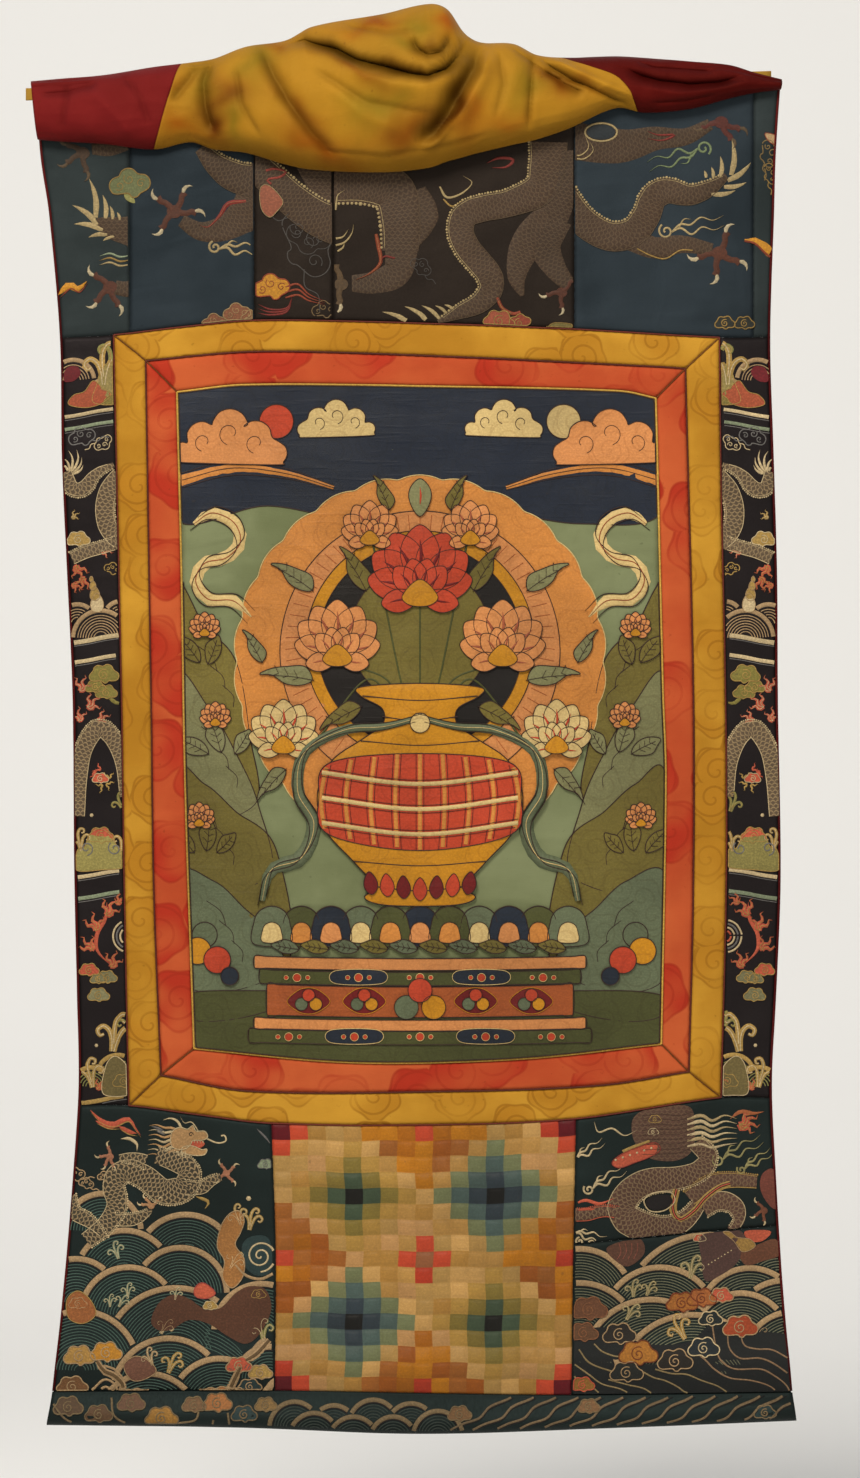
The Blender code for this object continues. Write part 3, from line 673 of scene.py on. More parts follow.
def layTape():
    def placeOf(s, t):
        x, z = tapeFold["left"] + tapeFold["run"] * s, tapeFold["low"] + tapeFold["rise"] * s
        turn = (t - 0.5) * 2 * math.pi
        flat = np.sign(np.cos(turn)) * np.abs(np.cos(turn)) ** 0.35
        tall = np.sign(-np.sin(turn)) * np.abs(np.sin(turn)) ** 0.5
        y = tapeFold["behind"] - tapeFold["deep"] * flat
        z = z + tapeFold["tall"] * tall + 0.3 * np.sin(x / 31)
        return np.stack([x, y, z], -1) * mm, np.stack([x, t * 30], -1) * mm

    tape = gridCloth("heading_tape_cloth", 120, 16, placeOf, [cloths["tape"]], tapeFold["thickness"])
    putOn(tape, ["heading_tape"])


sleeveSheet = {"columns": 150, "rows": 60, "thickness": 1.2, "flatShare": 0.06, "slopeShare": 0.16,
               "flat": (0.832, 0.098)}


def laySleeve():
    left, right = float(curveAt(leftEdge, hang["tall"])), float(curveAt(rightEdge, hang["tall"]))
    radius, sewn, clear = roller["radius"], roller["sewn"], roller["clear"]
    flat, slope = sleeveSheet["flatShare"], sleeveSheet["slopeShare"]

    def placeOf(s, t):
        x = left + (right - left) * s
        top = curveAt(sleeveSeam, x) - 0.1
        centre, leave = sleeveRound(x, top)
        around = 1 - np.abs(2 * t - 1)  # 0 at the sewn top, 1 at the lowest line
        angle = leave + (math.pi - leave) * np.clip((around - flat - slope) / (1 - flat - slope), 0, 1)
        share = np.clip((around - flat) / slope, 0, 1)
        tangentOut, tangentDown = radius * np.sin(leave), centre - radius * np.cos(leave)
        out = np.where(around < flat + slope, clear + (tangentOut - clear) * share, radius * np.sin(angle))
        sloped = top + sewn + (tangentDown - top - sewn) * share
        down = np.where(around < flat + slope, sloped, centre - radius * np.cos(angle))
        down = np.where(around < flat, top + sewn * around / flat, down)
        out = out - 0.9 * np.exp(-((around * 60 / 2.2) ** 2))
        wrinkle = 0.35 * np.sin(x / 9 + 2 * np.sin(x / 47)) * np.sin(around * math.pi) * np.exp(-around * 2)
        side = np.where(t < 0.5, 1, -1)
        l, r = curveAt(leftEdge, down), curveAt(rightEdge, down)
        sideways = l + (r - l) * (x - left) / (right - left)
        line = standsForward(x, np.full_like(x, hang["tall"])) - 1
        cloth = np.stack([x, -(top + around * 42)], -1) * mm
        return np.stack([sideways, -(line + side * (out + wrinkle)), -down], -1) * mm, cloth

    sleeve = gridCloth("bottom_sleeve", sleeveSheet["columns"], sleeveSheet["rows"], placeOf,
                       [cloths["deep"], cloths["reverse"]], sleeveSheet["thickness"])
    putOn(sleeve, ["roller_sleeve"])


layBinding("left")
layBinding("right")
layTape()
laySleeve()
print("tape, bindings and sleeve laid")


# drawing in silk: cords, patches and what is made of them

inks = {
    "darkBrown": dye(78, 56, 46), "cream": dye(206, 182, 138), "tan": dye(176, 144, 104), "coral": dye(196, 92, 66),
    "rose": dye(168, 74, 70), "ochre": dye(196, 134, 44), "gold": dye(176, 142, 78), "olive": dye(136, 132, 76),
    "sage": dye(136, 146, 116), "teal": dye(44, 62, 62), "ink": dye(30, 26, 28), "grey": dye(112, 108, 104),
    "maroon": dye(110, 34, 40),
}
keepIn = {"side": 2, "level": 1.5, "over": 0.8}  # how far the drawing stops inside its curves
drawing = {}  # the drawing in hand


def startWork(*keep):  # keep: left, right, top and bottom curves that the drawing stops at, or none
    drawing.update(spots=[], faces=[], dyes=[], along=[], count=0, keep=keep)


def keepEdges(x, d):
    left, right, top, bottom = drawing["keep"]
    side, level = keepIn["side"], keepIn["level"]
    return curveAt(left, d) + side, curveAt(right, d) - side, curveAt(top, x) + level, curveAt(bottom, x) - level


def clipSpots(x, d, over):  # moves spots that pass the kept edges back to them, or over them by so much
    left, right, top, bottom = keepEdges(x, d)
    return np.column_stack([np.clip(x, left - over, right + over), np.clip(d, top - over, bottom + over)])


def within(line, reach=0.0):
    if not drawing["keep"]:
        return np.ones(len(line), bool)
    x, d = line[:, 0], line[:, 1]
    left, right, top, bottom = keepEdges(x, d)
    return (x > left - reach) & (x < right + reach) & (d > top - reach) & (d < bottom + reach)


def runsOf(mask):  # stretches of a line that are kept
    edges = np.flatnonzero(np.diff(np.concatenate([[0], mask.astype(int), [0]])))
    return [slice(a, b) for a, b in zip(edges[::2], edges[1::2]) if b - a > 2]


def sidewaysOf(way):  # one long, to the left of each step
    way = way / np.maximum(np.hypot(way[:, 0], way[:, 1]), 1e-6)[:, None]
    return np.stack([way[:, 1], -way[:, 0]], -1)


def edgeGap(spots, outline):  # how far each spot lies from the nearest point of the outline
    return np.hypot(*(spots[:, None] - outline[None]).transpose(2, 0, 1)).min(1)


def addWork(spots, faces, ink, along=None, scales=0.0):  # spots are across, down and lift
    spots = np.array(spots, float)
    if drawing["keep"]:
        kept = within(spots, keepIn["over"])
        faces = [face for face in faces if kept[list(face)].any()]
        spots[:, :2] = clipSpots(spots[:, 0], spots[:, 1], keepIn["over"])
    drawing["faces"] += [tuple(drawing["count"] + n for n in face) for face in faces]
    drawing["count"] += len(spots)
    drawing["spots"].append(spots)
    drawing["along"].append(np.zeros((len(spots), 2)) if along is None else np.asarray(along, float))
    fade = chance.uniform(0.9, 1.1)
    drawing["dyes"].append(np.tile([*(c * fade for c in ink), 1 - scales], (len(faces), 1)))


def finishWork(name, material):
    spots = np.concatenate(drawing["spots"])
    mesh = bpy.data.meshes.new(name)
    mesh.from_pydata(hangPoint(spots[:, 0], spots[:, 1], spots[:, 2]), [], drawing["faces"])
    piece = addObject(name, mesh)
    meshUv(mesh, np.stack([spots[:, 0], -spots[:, 1]], -1) * mm)
    meshUv(mesh, np.concatenate(drawing["along"]) * mm, "along")
    sizes = np.empty(len(mesh.polygons), int)
    mesh.polygons.foreach_get("loop_total", sizes)
    meshDyes(mesh, np.repeat(np.concatenate(drawing["dyes"]), sizes, 0))
    mesh.materials.append(material)
    mesh.shade_smooth()
    mesh.uv_layers["cloth"].active_render = True
    putOn(piece)
    print(name, len(drawing["faces"]), "faces")


def turned(points, degrees):
    points = np.asarray(points, float)
    c, s = math.cos(math.radians(degrees)), math.sin(math.radians(degrees))
    return np.column_stack([points[:, 0] * c - points[:, 1] * s, points[:, 0] * s + points[:, 1] * c])


def oval(across, down, turn=6.0, count=12, x=0, d=0):  # points round an oval, from its right-hand end
    return [(math.cos(a) * across + x, math.sin(a) * down + d) for a in np.linspace(0, turn, count)]


def put(at, points):  # points about 1 in size, placed at across, down, size, turn in degrees and flip
    x, d, size, turn, flip = (*at, *(1, 0, 1)[len(at) - 2:])
    points = np.asarray(points, float) * size
    c, s = math.cos(math.radians(turn)), math.sin(math.radians(turn))
    px, pd = points[:, 0] * flip, points[:, 1]
    return np.stack([x + px * c - pd * s, d + px * s + pd * c], -1)


def flow(points, step=2.5, closed=False):  # an even smooth line through the points
    points = np.asarray(points, float)
    ends = (points[-1:], points[:2]) if closed else (2 * points[:1] - points[1:2], 2 * points[-1:] - points[-2:-1])
    p = np.concatenate([ends[0], points, ends[1]])
    s = np.linspace(0, 1, 12, endpoint=False)[None, :, None]
    a, b, c, e = (p[n:len(p) - 3 + n, None, :] for n in range(4))
    line = 0.5 * (2 * b + (c - a) * s + (2 * a - 5 * b + 4 * c - e) * s ** 2 + (3 * b - a - 3 * c + e) * s ** 3)
    line = np.concatenate([line.reshape(-1, 2), points[:1] if closed else points[-1:]])
    run = np.concatenate([[0], np.cumsum(np.hypot(*np.diff(line, axis=0).T))])
    count = max(3, math.ceil(run[-1] / step))
    at = np.linspace(0, run[-1], count + 1)[:-1 if closed else None]
    return np.stack([np.interp(at, run, line[:, 0]), np.interp(at, run, line[:, 1])], -1)


def evenly(*widths):  # a taper of these widths, at even steps along the line
    return np.linspace(0, 1, len(widths)), widths


roundSides, roundHeights = (1, 0.55, -0.55, -1), (-0.12, 1, 1, -0.12)


def layRibbon(line, width, ink, lift, sides, heights, closed, scales):  # each edge has its side and height
    before, after = (np.roll(line, 1, 0), np.roll(line, -1, 0)) if closed else (
        np.concatenate([line[:1], line[:-1]]), np.concatenate([line[1:], line[-1:]]))
    left = sidewaysOf(after - before)
    run = np.concatenate([[0], np.cumsum(np.hypot(*np.diff(line, axis=0).T))])
    spots, along = [], []
    for side, height in zip(sides, heights):
        at = line + left * (width / 2 * side)[:, None]
        spots.append(np.column_stack([at, np.full(len(line), lift * height if height > 0 else height)]))
        along.append(np.column_stack([width / 2 * side, run]))
    n, steps = len(line), range(len(line) if closed else len(line) - 1)
    faces = [(c * n + i, (c + 1) * n + i, (c + 1) * n + (i + 1) % n, c * n + (i + 1) % n)
             for i in steps for c in range(len(sides) - 1)]
    addWork(np.concatenate(spots), faces, ink, np.concatenate(along), scales)


def ribbon(line, width, ink, lift, sides=roundSides, heights=roundHeights, closed=False, scales=0.0, hide=None):
    width = np.broadcast_to(np.asarray(width, float), (len(line),))
    kept = within(line, width.max() / 2 if width.max() > 7 else 0)
    if hide is not None:
        kept &= ~hide(line)
    if kept.all():
        layRibbon(line, width, ink, lift, sides, heights, closed, scales)
    else:
        for run in runsOf(kept):
            layRibbon(line[run], width[run], ink, lift, sides, heights, False, scales)


def cord(points, width, ink, lift=None, closed=False, at=None, taper=None, step=None):  # a couched or woven line
    points = put(at, points) if at else points
    line = flow(points, step or max(1.6, width * 0.9), closed)
    wide = width * (1 if taper is None else np.interp(np.linspace(0, 1, len(line)), *taper))
    ribbon(line, wide, ink, lift or min(0.9, 0.25 + width * 0.2), closed=closed)


toTip = ([0, 0.15, 0.5, 1], [0.7, 1, 0.8, 0.06])
bothTips = ([0, 0.25, 0.6, 1], [0.06, 0.9, 1, 0.06])


def tipCord(points, width, ink, lift=None, at=None, step=None):  # thins to a tip at its end
    cord(points, width, ink, lift, at=at, taper=toTip, step=step)


def sliver(points, width, ink, lift=None, at=None):  # thins to a tip at both ends
    cord(points, width, ink, lift, at=at, taper=bothTips)


def inside(outline, spots):
    x, y = spots[:, 0][:, None], spots[:, 1][:, None]
    x1, y1 = outline[:, 0][None], outline[:, 1][None]
    x2, y2 = np.roll(x1, -1), np.roll(y1, -1)
    crosses = (y1 > y) != (y2 > y)
    run = np.where(crosses, (x2 - x1) * (y - y1) / np.where(y2 == y1, 1e-9, y2 - y1) + x1, np.inf)
    return (np.sum(crosses & (x < run), 1) % 2) == 1


patchEdge = {"out": 0.25, "down": -0.3, "round": 3.0, "nearest": 0.4}  # how a patch's edge turns down


def patch(points, ink, lift=0.4, rim=None, at=None, puff=0.25, step=2.6, pitch=7.0, smoothEdge=True, scales=0.0):
    # a filled silk shape with its edge turned down, and a cord laid round it if it has a rim
    points = put(at, points) if at else np.asarray(points, float)
    outline = flow(points, step, True) if smoothEdge else points
    if drawing["keep"]:
        if not within(outline).any():
            return
        for _ in range(2):
            outline = clipSpots(outline[:, 0], outline[:, 1], -0.2)
        outline = outline[np.hypot(*(outline - np.roll(outline, 1, 0)).T) > 0.25]
        if len(outline) < 5:
            return
    edge = np.stack([outline[:, 0], -outline[:, 1]], -1)
    area = np.sum(edge[:, 0] * np.roll(edge[:, 1], -1) - edge[:, 1] * np.roll(edge[:, 0], -1))
    if area < 0:
        edge, outline = edge[::-1], outline[::-1]
    low, high = edge.min(0), edge.max(0)
    columns, rows = (np.arange(low[n] + pitch / 2, high[n], pitch) for n in (0, 1))
    grid = np.stack([part.ravel() for part in np.meshgrid(columns, rows)], -1)
    if len(grid):
        grid = grid[inside(edge, grid)]
    if len(grid):
        grid = grid[edgeGap(grid, edge) > pitch * patchEdge["nearest"]]
    n = len(edge)
    made = delaunay_2d_cdt([Vector(p) for p in np.concatenate([edge, grid])], [], [list(range(n))], 1, 1e-6)
    spots = np.array([tuple(v) for v in made[0]])
    raised = lift + puff * (1 - np.exp(-edgeGap(spots, edge) / patchEdge["round"]))
    out = edge + sidewaysOf(np.roll(edge, -1, 0) - np.roll(edge, 1, 0)) * patchEdge["out"]
    whole = np.concatenate([np.column_stack([flat[:, 0], -flat[:, 1], lifts]) for flat, lifts in (
        (spots, raised), (edge, np.full(n, lift)), (out, np.full(n, patchEdge["down"])))])
    start = len(spots)
    skirt = [(start + i, start + n + i, start + n + (i + 1) % n, start + (i + 1) % n) for i in range(n)]
    addWork(whole, [tuple(face) for face in made[2]] + skirt, ink, whole[:, :2], scales)
    if rim:
        width, dyeOfIt = rim
        ribbon(flow(outline, max(1.6, width * 1.2), True), width, dyeOfIt, lift + 0.35 + width * 0.12, closed=True)


def bead(x, d, size, ink, lift=0.8):
    if not within(np.array([[x, d]]))[0]:
        return
    turns = np.linspace(0, 2 * math.pi, 7)[:-1]
    low, high = (np.column_stack([x + size * share * np.cos(turns), d + size * share * np.sin(turns), np.full(6, rise)])
                 for share, rise in ((0.5, -0.1), (0.36, lift * 0.8)))
    faces = [(i, 6 + i, 6 + (i + 1) % 6, (i + 1) % 6) for i in range(6)]
    faces += [(6 + i, 12, 6 + (i + 1) % 6) for i in range(6)]
    addWork(np.concatenate([low, high, [[x, d, lift]]]), faces, ink)


def spiral(turns, inner=0.12, start=0.0, count=26):
    t = np.linspace(0, 1, count)
    angle = start + t * turns * fullTurn
    return np.column_stack([np.cos(angle), np.sin(angle)]) * (inner + (1 - inner) * t)[:, None]


def lobed(lobes):  # an outline of round lobes: across, down and radius of each, in order round it
    points = []
    for x, d, r, a, b in lobes:
        for turn in np.radians(np.linspace(a, b, 5)):
            points.append((x + r * math.cos(turn), d + r * math.sin(turn)))
    return points


cloudLobes = [(-0.55, 0.1, 0.36, 110, 260), (-0.12, -0.22, 0.40, 190, 330), (0.42, -0.02, 0.36, 260, 400),
              (0.12, 0.32, 0.26, 20, 160)]


def cloudCurls(at, rim, width, lift=None):
    for x, d, r, start in ((-0.5, 0.1, 0.2, 1.0), (-0.1, -0.18, 0.24, 2.6), (0.4, 0.0, 0.2, 4.4)):
        cord(spiral(1.2, 0.15, start, 16) * r + (x, d), width, rim, lift, at=at, step=1.6)


def cloud(at, ink, rim, width):  # a scrolled cloud
    patch(lobed(cloudLobes), ink, 0.45, (width, rim), at)
    cloudCurls(at, rim, width * 0.8, 0.95)


def cloudLine(at, rim, width=1.2):  # only the outline of a cloud, as on the narrow strips
    cord(lobed(cloudLobes), width, rim, closed=True, at=at)
    cloudCurls(at, rim, width * 0.9)
    cord([(0.5, 0.3), (0.9, 0.42), (1.2, 0.2), (1.6, 0.3)], width, rim, at=at)


def wisp(at, ink, width=2.2):  # a curl with two long wavy tails
    cord(spiral(1.3, 0.2, 2.4, 20) * 0.24 + (-0.72, 0.05), width, ink, at=at)
    for shift in (-0.12, 0.18):
        tail = [(-0.55, 0.1), (-0.25, -0.05 + shift * 0.4), (0.05, 0.08 + shift), (0.4, -0.1 + shift),
                (0.75, 0.04 + shift), (1.1, -0.06 + shift)]
        tipCord(tail, width * 1.1, ink, at=at)
    tipCord([(-0.3, -0.02), (-0.12, -0.24), (0.1, -0.2)], width * 0.9, ink, at=at)


def flame(at, ink, rim=None, tongues=4):  # curling tongues from one root
    for n in range(tongues):
        lean = -40 + 80 * n / max(1, tongues - 1)
        long = 1.0 - 0.16 * abs(n - (tongues - 1) / 2)
        tongue = np.array([(0, 0), (0.14, -0.3), (-0.08, -0.58), (0.12, -0.82), (-0.02, -1.0)]) * (1, long)
        tongue = turned(tongue, lean)
        cord(tongue, at[2] * 0.24, ink, 0.55, at=at, taper=([0, 0.3, 0.65, 1], [0.9, 1, 0.6, 0.05]))
        if rim:
            tipCord(tongue * 0.96, at[2] * 0.055, rim, 0.9, at=at)


def claw(at, ink, nail, toes=(-150, -80, -15, 55)):  # a paw with curved nails
    patch(oval(0.28, 0.24, 5.6, 8), ink, 0.6, at=at)
    for turn in toes:
        toe = turned([(0.1, 0), (0.4, 0.06), (0.66, -0.03), (0.82, 0.02)], turn)
        cord(toe, at[2] * 0.27, ink, 0.65, at=at, taper=([0, 0.6, 1], [1, 0.8, 1.0]))
        tip = turned([(0.78, -0.04), (0.95, -0.08), (1.1, 0.02), (1.16, 0.16)], turn)
        tipCord(tip, at[2] * 0.17, nail, 0.75, at=at)


def tailFin(at, ink, rays=8, spread=200):  # curved rays fanned round the end of a tail
    for n in range(rays):
        long = 0.62 + 0.5 * math.exp(-(((n - rays * 0.45) / (rays * 0.28)) ** 2))
        ray = np.array([(0.18, 0), (0.45, 0.07), (0.75, 0.05), (1.0, -0.1)]) * long
        ray = turned(ray, -90 - spread / 2 + spread * n / (rays - 1))
        cord(ray, at[2] * 0.12, ink, 0.6, at=at, taper=([0, 0.2, 0.6, 1], [0.4, 1, 0.7, 0.05]))


def rays(spans, width, ink):  # single rays of a fin, each from its root to its tip
    for x, d, tipX, tipD in spans:
        dx, dd = tipX - x, tipD - d
        line = [(x, d), (x + dx * 0.4 - dd * 0.08, d + dd * 0.4 + dx * 0.08),
                (x + dx * 0.75 - dd * 0.06, d + dd * 0.75 + dx * 0.06), (tipX, tipD)]
        cord(line, width * min(1.2, 0.5 + math.hypot(dx, dd) / 50), ink, 0.6,
             taper=([0, 0.3, 0.7, 1], [0.7, 1, 0.7, 0.06]))


bodySides = (1, 0.93, 0.5, 0, -0.5, -0.93, -1)


def dragonBody(points, width, ink, bone, side=1, scales=0.5, taper=evenly(1, 1, 0.35), spikes=3, belly=None):
    # a scaled body with a beaded back along one side
    line = flow(points, 3.5)
    wide = width * np.interp(np.linspace(0, 1, len(line)), *taper)
    ribbon(line, wide, ink, 0.7, bodySides, (-0.15, 0.6, 1, 1.15, 1, 0.6, -0.15), scales=scales)
    left = sidewaysOf(np.gradient(line, axis=0)) * side
    size = max(2.0, width * 0.085)
    ridge = flow((line + left * (wide / 2)[:, None])[::2], size * 1.25)
    for n, (x, d) in enumerate(ridge):
        bead(x, d, size * (1.3 if n % spikes == 0 else 0.95), bone, 1.1)
    cord((line + left * (wide / 2 - size * 0.9)[:, None])[::3], 0.8, bone, 0.95)
    cord((line - left * (wide / 2 - 0.5)[:, None])[::3], 1.1, belly or bone, 0.95)


headLobes = [(-0.7, 0.16, 0.32, 80, 240), (-0.36, -0.26, 0.38, 180, 305), (0.26, -0.3, 0.4, 225, 350),
             (0.72, 0.1, 0.34, 280, 450), (0.1, 0.36, 0.24, 20, 160)]


def scroll(at, ink, rim, width=1.3, lift=0.5):  # a wide cloud head with a curl in it
    patch(lobed(headLobes), ink, lift, (width, rim), at)
    cord(spiral(1.7, 0.06, 0.8, 30) * 0.4 + (0.0, 0.02), width, rim, lift + 0.5, at=at, step=1.5)


def fans(rows, band=6.4, pitch=3.3, lines=None, edge=None):  # waves like overlapping fans, back row first
    lines, edge = lines or dye(70, 92, 82), edge or inks["tan"]
    discs = [(x, top + r, r) for x, top, r in rows]
    for n, (x, d, r) in enumerate(discs):
        front = discs[n + 1:]

        def hide(line):
            hidden = np.zeros(len(line), bool)
            for fx, fd, fr in front:
                gap = np.hypot(line[:, 0] - fx, line[:, 1] - fd)
                hidden |= (gap < fr + 0.9) | ((abs(line[:, 0] - fx) < fr) & (line[:, 1] > fd))
            return hidden
        turns = np.radians(np.arange(183, 358, max(1.5, 130 / r)))
        circle = np.column_stack([np.cos(turns), np.sin(turns)])
        ribbon(circle * (r - band / 2) + (x, d), band, edge, 0.45, (1, 0.86, -0.86, -1), hide=hide)
        ribbon(circle * (r - band - 0.7) + (x, d), 1.5, inks["ink"], 0.4, hide=hide)
        for ring in np.arange(r - band - pitch, 6, -pitch):
            ribbon(circle * ring + (x, d), 1.25, lines, 0.35, hide=hide)


def foam(at, ink, rim):  # breaking foam: three hooked curls from one stem
    hooks = [[(0.05, 0.95), (0.14, 0.4), (0.32, -0.08), (0.62, -0.28), (0.88, -0.06), (0.74, 0.2), (0.54, 0.1)],
             [(-0.05, 0.95), (-0.12, 0.4), (-0.3, 0.0), (-0.6, -0.16), (-0.84, 0.06), (-0.7, 0.3), (-0.52, 0.2)],
             [(0.0, 0.6), (-0.06, 0.0), (-0.02, -0.5), (0.22, -0.82), (0.5, -0.7), (0.42, -0.46), (0.26, -0.5)]]
    for hook in hooks:
        cord(hook, at[2] * 0.26, ink, 0.5, at=at, taper=([0, 0.5, 0.85, 1], [1, 1, 0.8, 0.5]), step=1.6)
        cord(hook, max(0.7, at[2] * 0.07), rim, 0.85, at=at, step=1.6)


def swell(points, ink, width=2.2, lift=0.5):  # one long rolling line of water
    cord(points, width, ink, lift, step=3)
    cord([(x, d + width * 0.9) for x, d in points], width * 0.4, inks["ink"], 0.3, step=3)


# the heading's dragon brocade

def brocadeMaterial():  # the dyes, with rows of scales on the bodies
    material = workMaterial("brocade silks", 0.58, 0.05, 0.0008, 0.35, 0.22)
    tree, scale = material.node_tree, 0.0062
    colour = tree.nodes["Principled BSDF"].inputs["Base Color"]
    across, along, _ = splitOf(addNode(tree, "ShaderNodeUVMap", uv_map="along").outputs[0])
    row = sumOf("DIVIDE", along, scale * 0.62)
    odd = times(sumOf("MODULO", sumOf("FLOOR", row), 2.0), 0.5)
    u = less(sumOf("FRACT", plus(sumOf("DIVIDE", across, scale), odd)), 0.5)
    edge = plus(times(times(u, u), 2.6), sumOf("FRACT", row))
    line = rampOf(sumOf("ABSOLUTE", less(edge, 0.62)), 0.1, 0.3, 1.0, 0.0)
    dyes = next(node for node in tree.nodes if node.type == "ATTRIBUTE")
    amount = times(line, less(1.0, dyes.outputs["Alpha"]))
    feed(colour, mixColour(amount, colour.links[0].from_socket, dye(158, 134, 98)))
    return material


brocade = brocadeMaterial()


def workHeading():
    startWork()
    cream, gold, coral = dye(170, 148, 104), dye(150, 120, 66), dye(140, 66, 46)
    rose, grey, hide, paw = dye(122, 50, 44), dye(74, 70, 66), dye(68, 52, 40), dye(84, 50, 38)
    faint, nail = dye(88, 72, 54), dye(184, 168, 134)

    def heldTo(first, last):  # each width is cut from another part of the cloth, so its figures stop at its seams
        cuts = [leftEdge, *[always(x) for x in headingCuts], rightEdge]
        drawing["keep"] = (cuts[first - 1], cuts[last], topEdge, headingSeam)

    def body(points, width, taper, side=1, spikes=3):
        dragonBody(points, width, hide, cream, side, 0.12, taper, spikes, faint)

    def limb(points, width, taper=([0, 0.6, 1], [1, 0.75, 0.5])):
        line = flow(points, 3.5)
        wide = width * np.interp(np.linspace(0, 1, len(line)), *taper)
        ribbon(line, wide, hide, 0.6, bodySides, (-0.15, 0.5, 0.9, 1, 0.9, 0.5, -0.15), scales=0.1)

    heldTo(1, 1)
    limb([(-330, 58), (-346, 66), (-366, 68)], 24)
    claw((-376, 72, 27, 20), hide, faint, (-170, 130, 60))
    patch([(-362, 146), (-338, 144), (-312, 146), (-312, 176), (-336, 172), (-354, 162)], hide, 0.4, scales=0.12)
    rays([(-362, 144, -369, 101), (-351, 145, -354, 119), (-343, 146, -346, 131), (-335, 147, -338, 138),
          (-360, 152, -388, 130), (-354, 158, -386, 151), (-349, 163, -370, 166), (-341, 165, -354, 170)], 6, cream)
    for shift, ink in ((0, inks["sage"]), (5, gold), (10, cream)):
        sliver([(-358, 187 + shift), (-346, 184 + shift), (-334, 188 + shift), (-318, 185 + shift)], 2.4, ink)
    claw((-346, 222, 29, -20), paw, nail, (-120, 155, 85))
    limb([(-340, 222), (-326, 224), (-312, 220)], 20, evenly(0.8, 1))
    sliver([(-404, 230), (-392, 219), (-382, 224), (-372, 215)], 9, inks["ochre"])
    sliver([(-402, 233), (-390, 223), (-380, 227), (-371, 217)], 2.0, coral, 1.0)
    heldTo(1, 2)
    cloud((-322, 106, 27), dye(104, 108, 72), gold, 1.6)
    patch([(-330, 116), (-322, 118), (-318, 128), (-328, 124)], inks["olive"], 0.3)
    heldTo(2, 2)
    limb([(-176, 118), (-194, 140), (-218, 156), (-244, 160), (-266, 148)], 40, ([0, 0.45, 1], [1.4, 0.8, 0.35]))
    body([(-244, 66), (-226, 86), (-202, 100), (-170, 104)], 34, evenly(0.5, 1, 1.2), 1)
    claw((-274, 138, 30, 10), paw, nail, (-150, -72, -8, 118))
    for width, ink, lift in ((6, dye(128, 48, 42), 0.7), (1.6, dye(160, 90, 66), 1.1)):
        tipCord([(-194, 126), (-214, 129), (-223, 142), (-236, 155), (-246, 153)], width, ink, lift)
    wisp((-207, 178, 30, 5), cream, 2.8)
    for x, d, s in ((-228, 262, 17), (-203, 251, 18), (-187, 256, 14)):
        cloud((x, d, s), dye(126, 80, 56), dye(150, 122, 84), 1.5)
    heldTo(3, 3)
    patch([(-140, 70), (-90, 70), (-90, 132), (-112, 124), (-126, 110)], hide, 0.3, scales=0.12)
    body([(-200, 72), (-172, 96), (-142, 124), (-114, 144), (-84, 156)], 38, evenly(0.9, 1, 1.2), 1, 4)
    cord([(-172, 92), (-162, 90), (-150, 93), (-156, 99), (-170, 102), (-166, 107)], 3.4, dye(140, 62, 52), 1.4)
    patch([(-178, 112), (-168, 109), (-153, 126), (-160, 138), (-168, 144), (-177, 134)], dye(150, 88, 66), 1.3,
          (0.9, cream))
    cloudLine((-124, 176, 46, 70), grey, 1.4)
    cloudLine((-126, 166, 30, 200), grey, 1.2)
    cloud((-164, 222, 24), inks["ochre"], coral, 1.6)
    for shift in (0, 6, 12):
        tipCord([(-150, 222 + shift), (-136, 219 + shift), (-124, 230 + shift * 0.6), (-106, 238 + shift * 0.3)], 2.6,
                coral)
    for shift in (0, 5, 10):
        sliver([(-181, 241 + shift), (-166, 247 + shift * 0.6), (-148, 245 + shift * 0.4), (-142, 230)], 2.4, rose)
    cloudLine((-106, 247, 16, 0), dye(118, 96, 66), 1.3)
    heldTo(4, 4)
    body([(-110, 104), (-62, 104), (-30, 116), (-22, 148), (-22, 182)], 46, evenly(1.1, 1.1, 0.9), -1, 9)
    limb([(-20, 176), (-26, 206), (-52, 217), (-76, 218)], 38, evenly(1, 0.8, 0.5))
    limb([(0, 112), (8, 134), (6, 156), (-2, 176)], 26, evenly(0.5, 1, 0.1))
    claw((-88, 219, 28, 0), dye(84, 66, 46), nail, (-105, 175, 95))
    for width, ink, lift in ((5, dye(134, 66, 44), 1.2), (1.4, dye(160, 100, 66), 1.7)):
        tipCord([(-49, 163), (-46, 178), (-44, 195), (-56, 207), (-72, 214)], width, ink, lift)
    tipCord([(-28, 190), (-40, 188), (-44, 196)], 3.0, rose, 1.3)
    for points in ([(-94, 136), (-92, 120), (-84, 114)], [(-96, 176), (-84, 172), (-76, 162), (-74, 152)],
                   [(-96, 168), (-86, 166), (-80, 158)], [(-92, 182), (-86, 178), (-84, 172)]):
        tipCord(points, 2.6, cream, 1.4)
    rays([(-8, 266, -42, 250), (10, 262, -17, 244), (22, 258, 2, 243), (30, 252, 17, 243), (37, 247, 27, 242)], 5,
         cream)
    limb([(156, 70), (158, 104), (152, 134), (142, 158)], 34, evenly(1.1, 1))
    limb([(146, 146), (124, 166), (112, 190), (108, 212), (114, 232)], 34, ([0, 0.5, 0.8, 1], [1.2, 1, 0.6, 0.15]))
    limb([(148, 146), (140, 176), (150, 200), (166, 220)], 36, evenly(1.2, 0.9, 0.45))
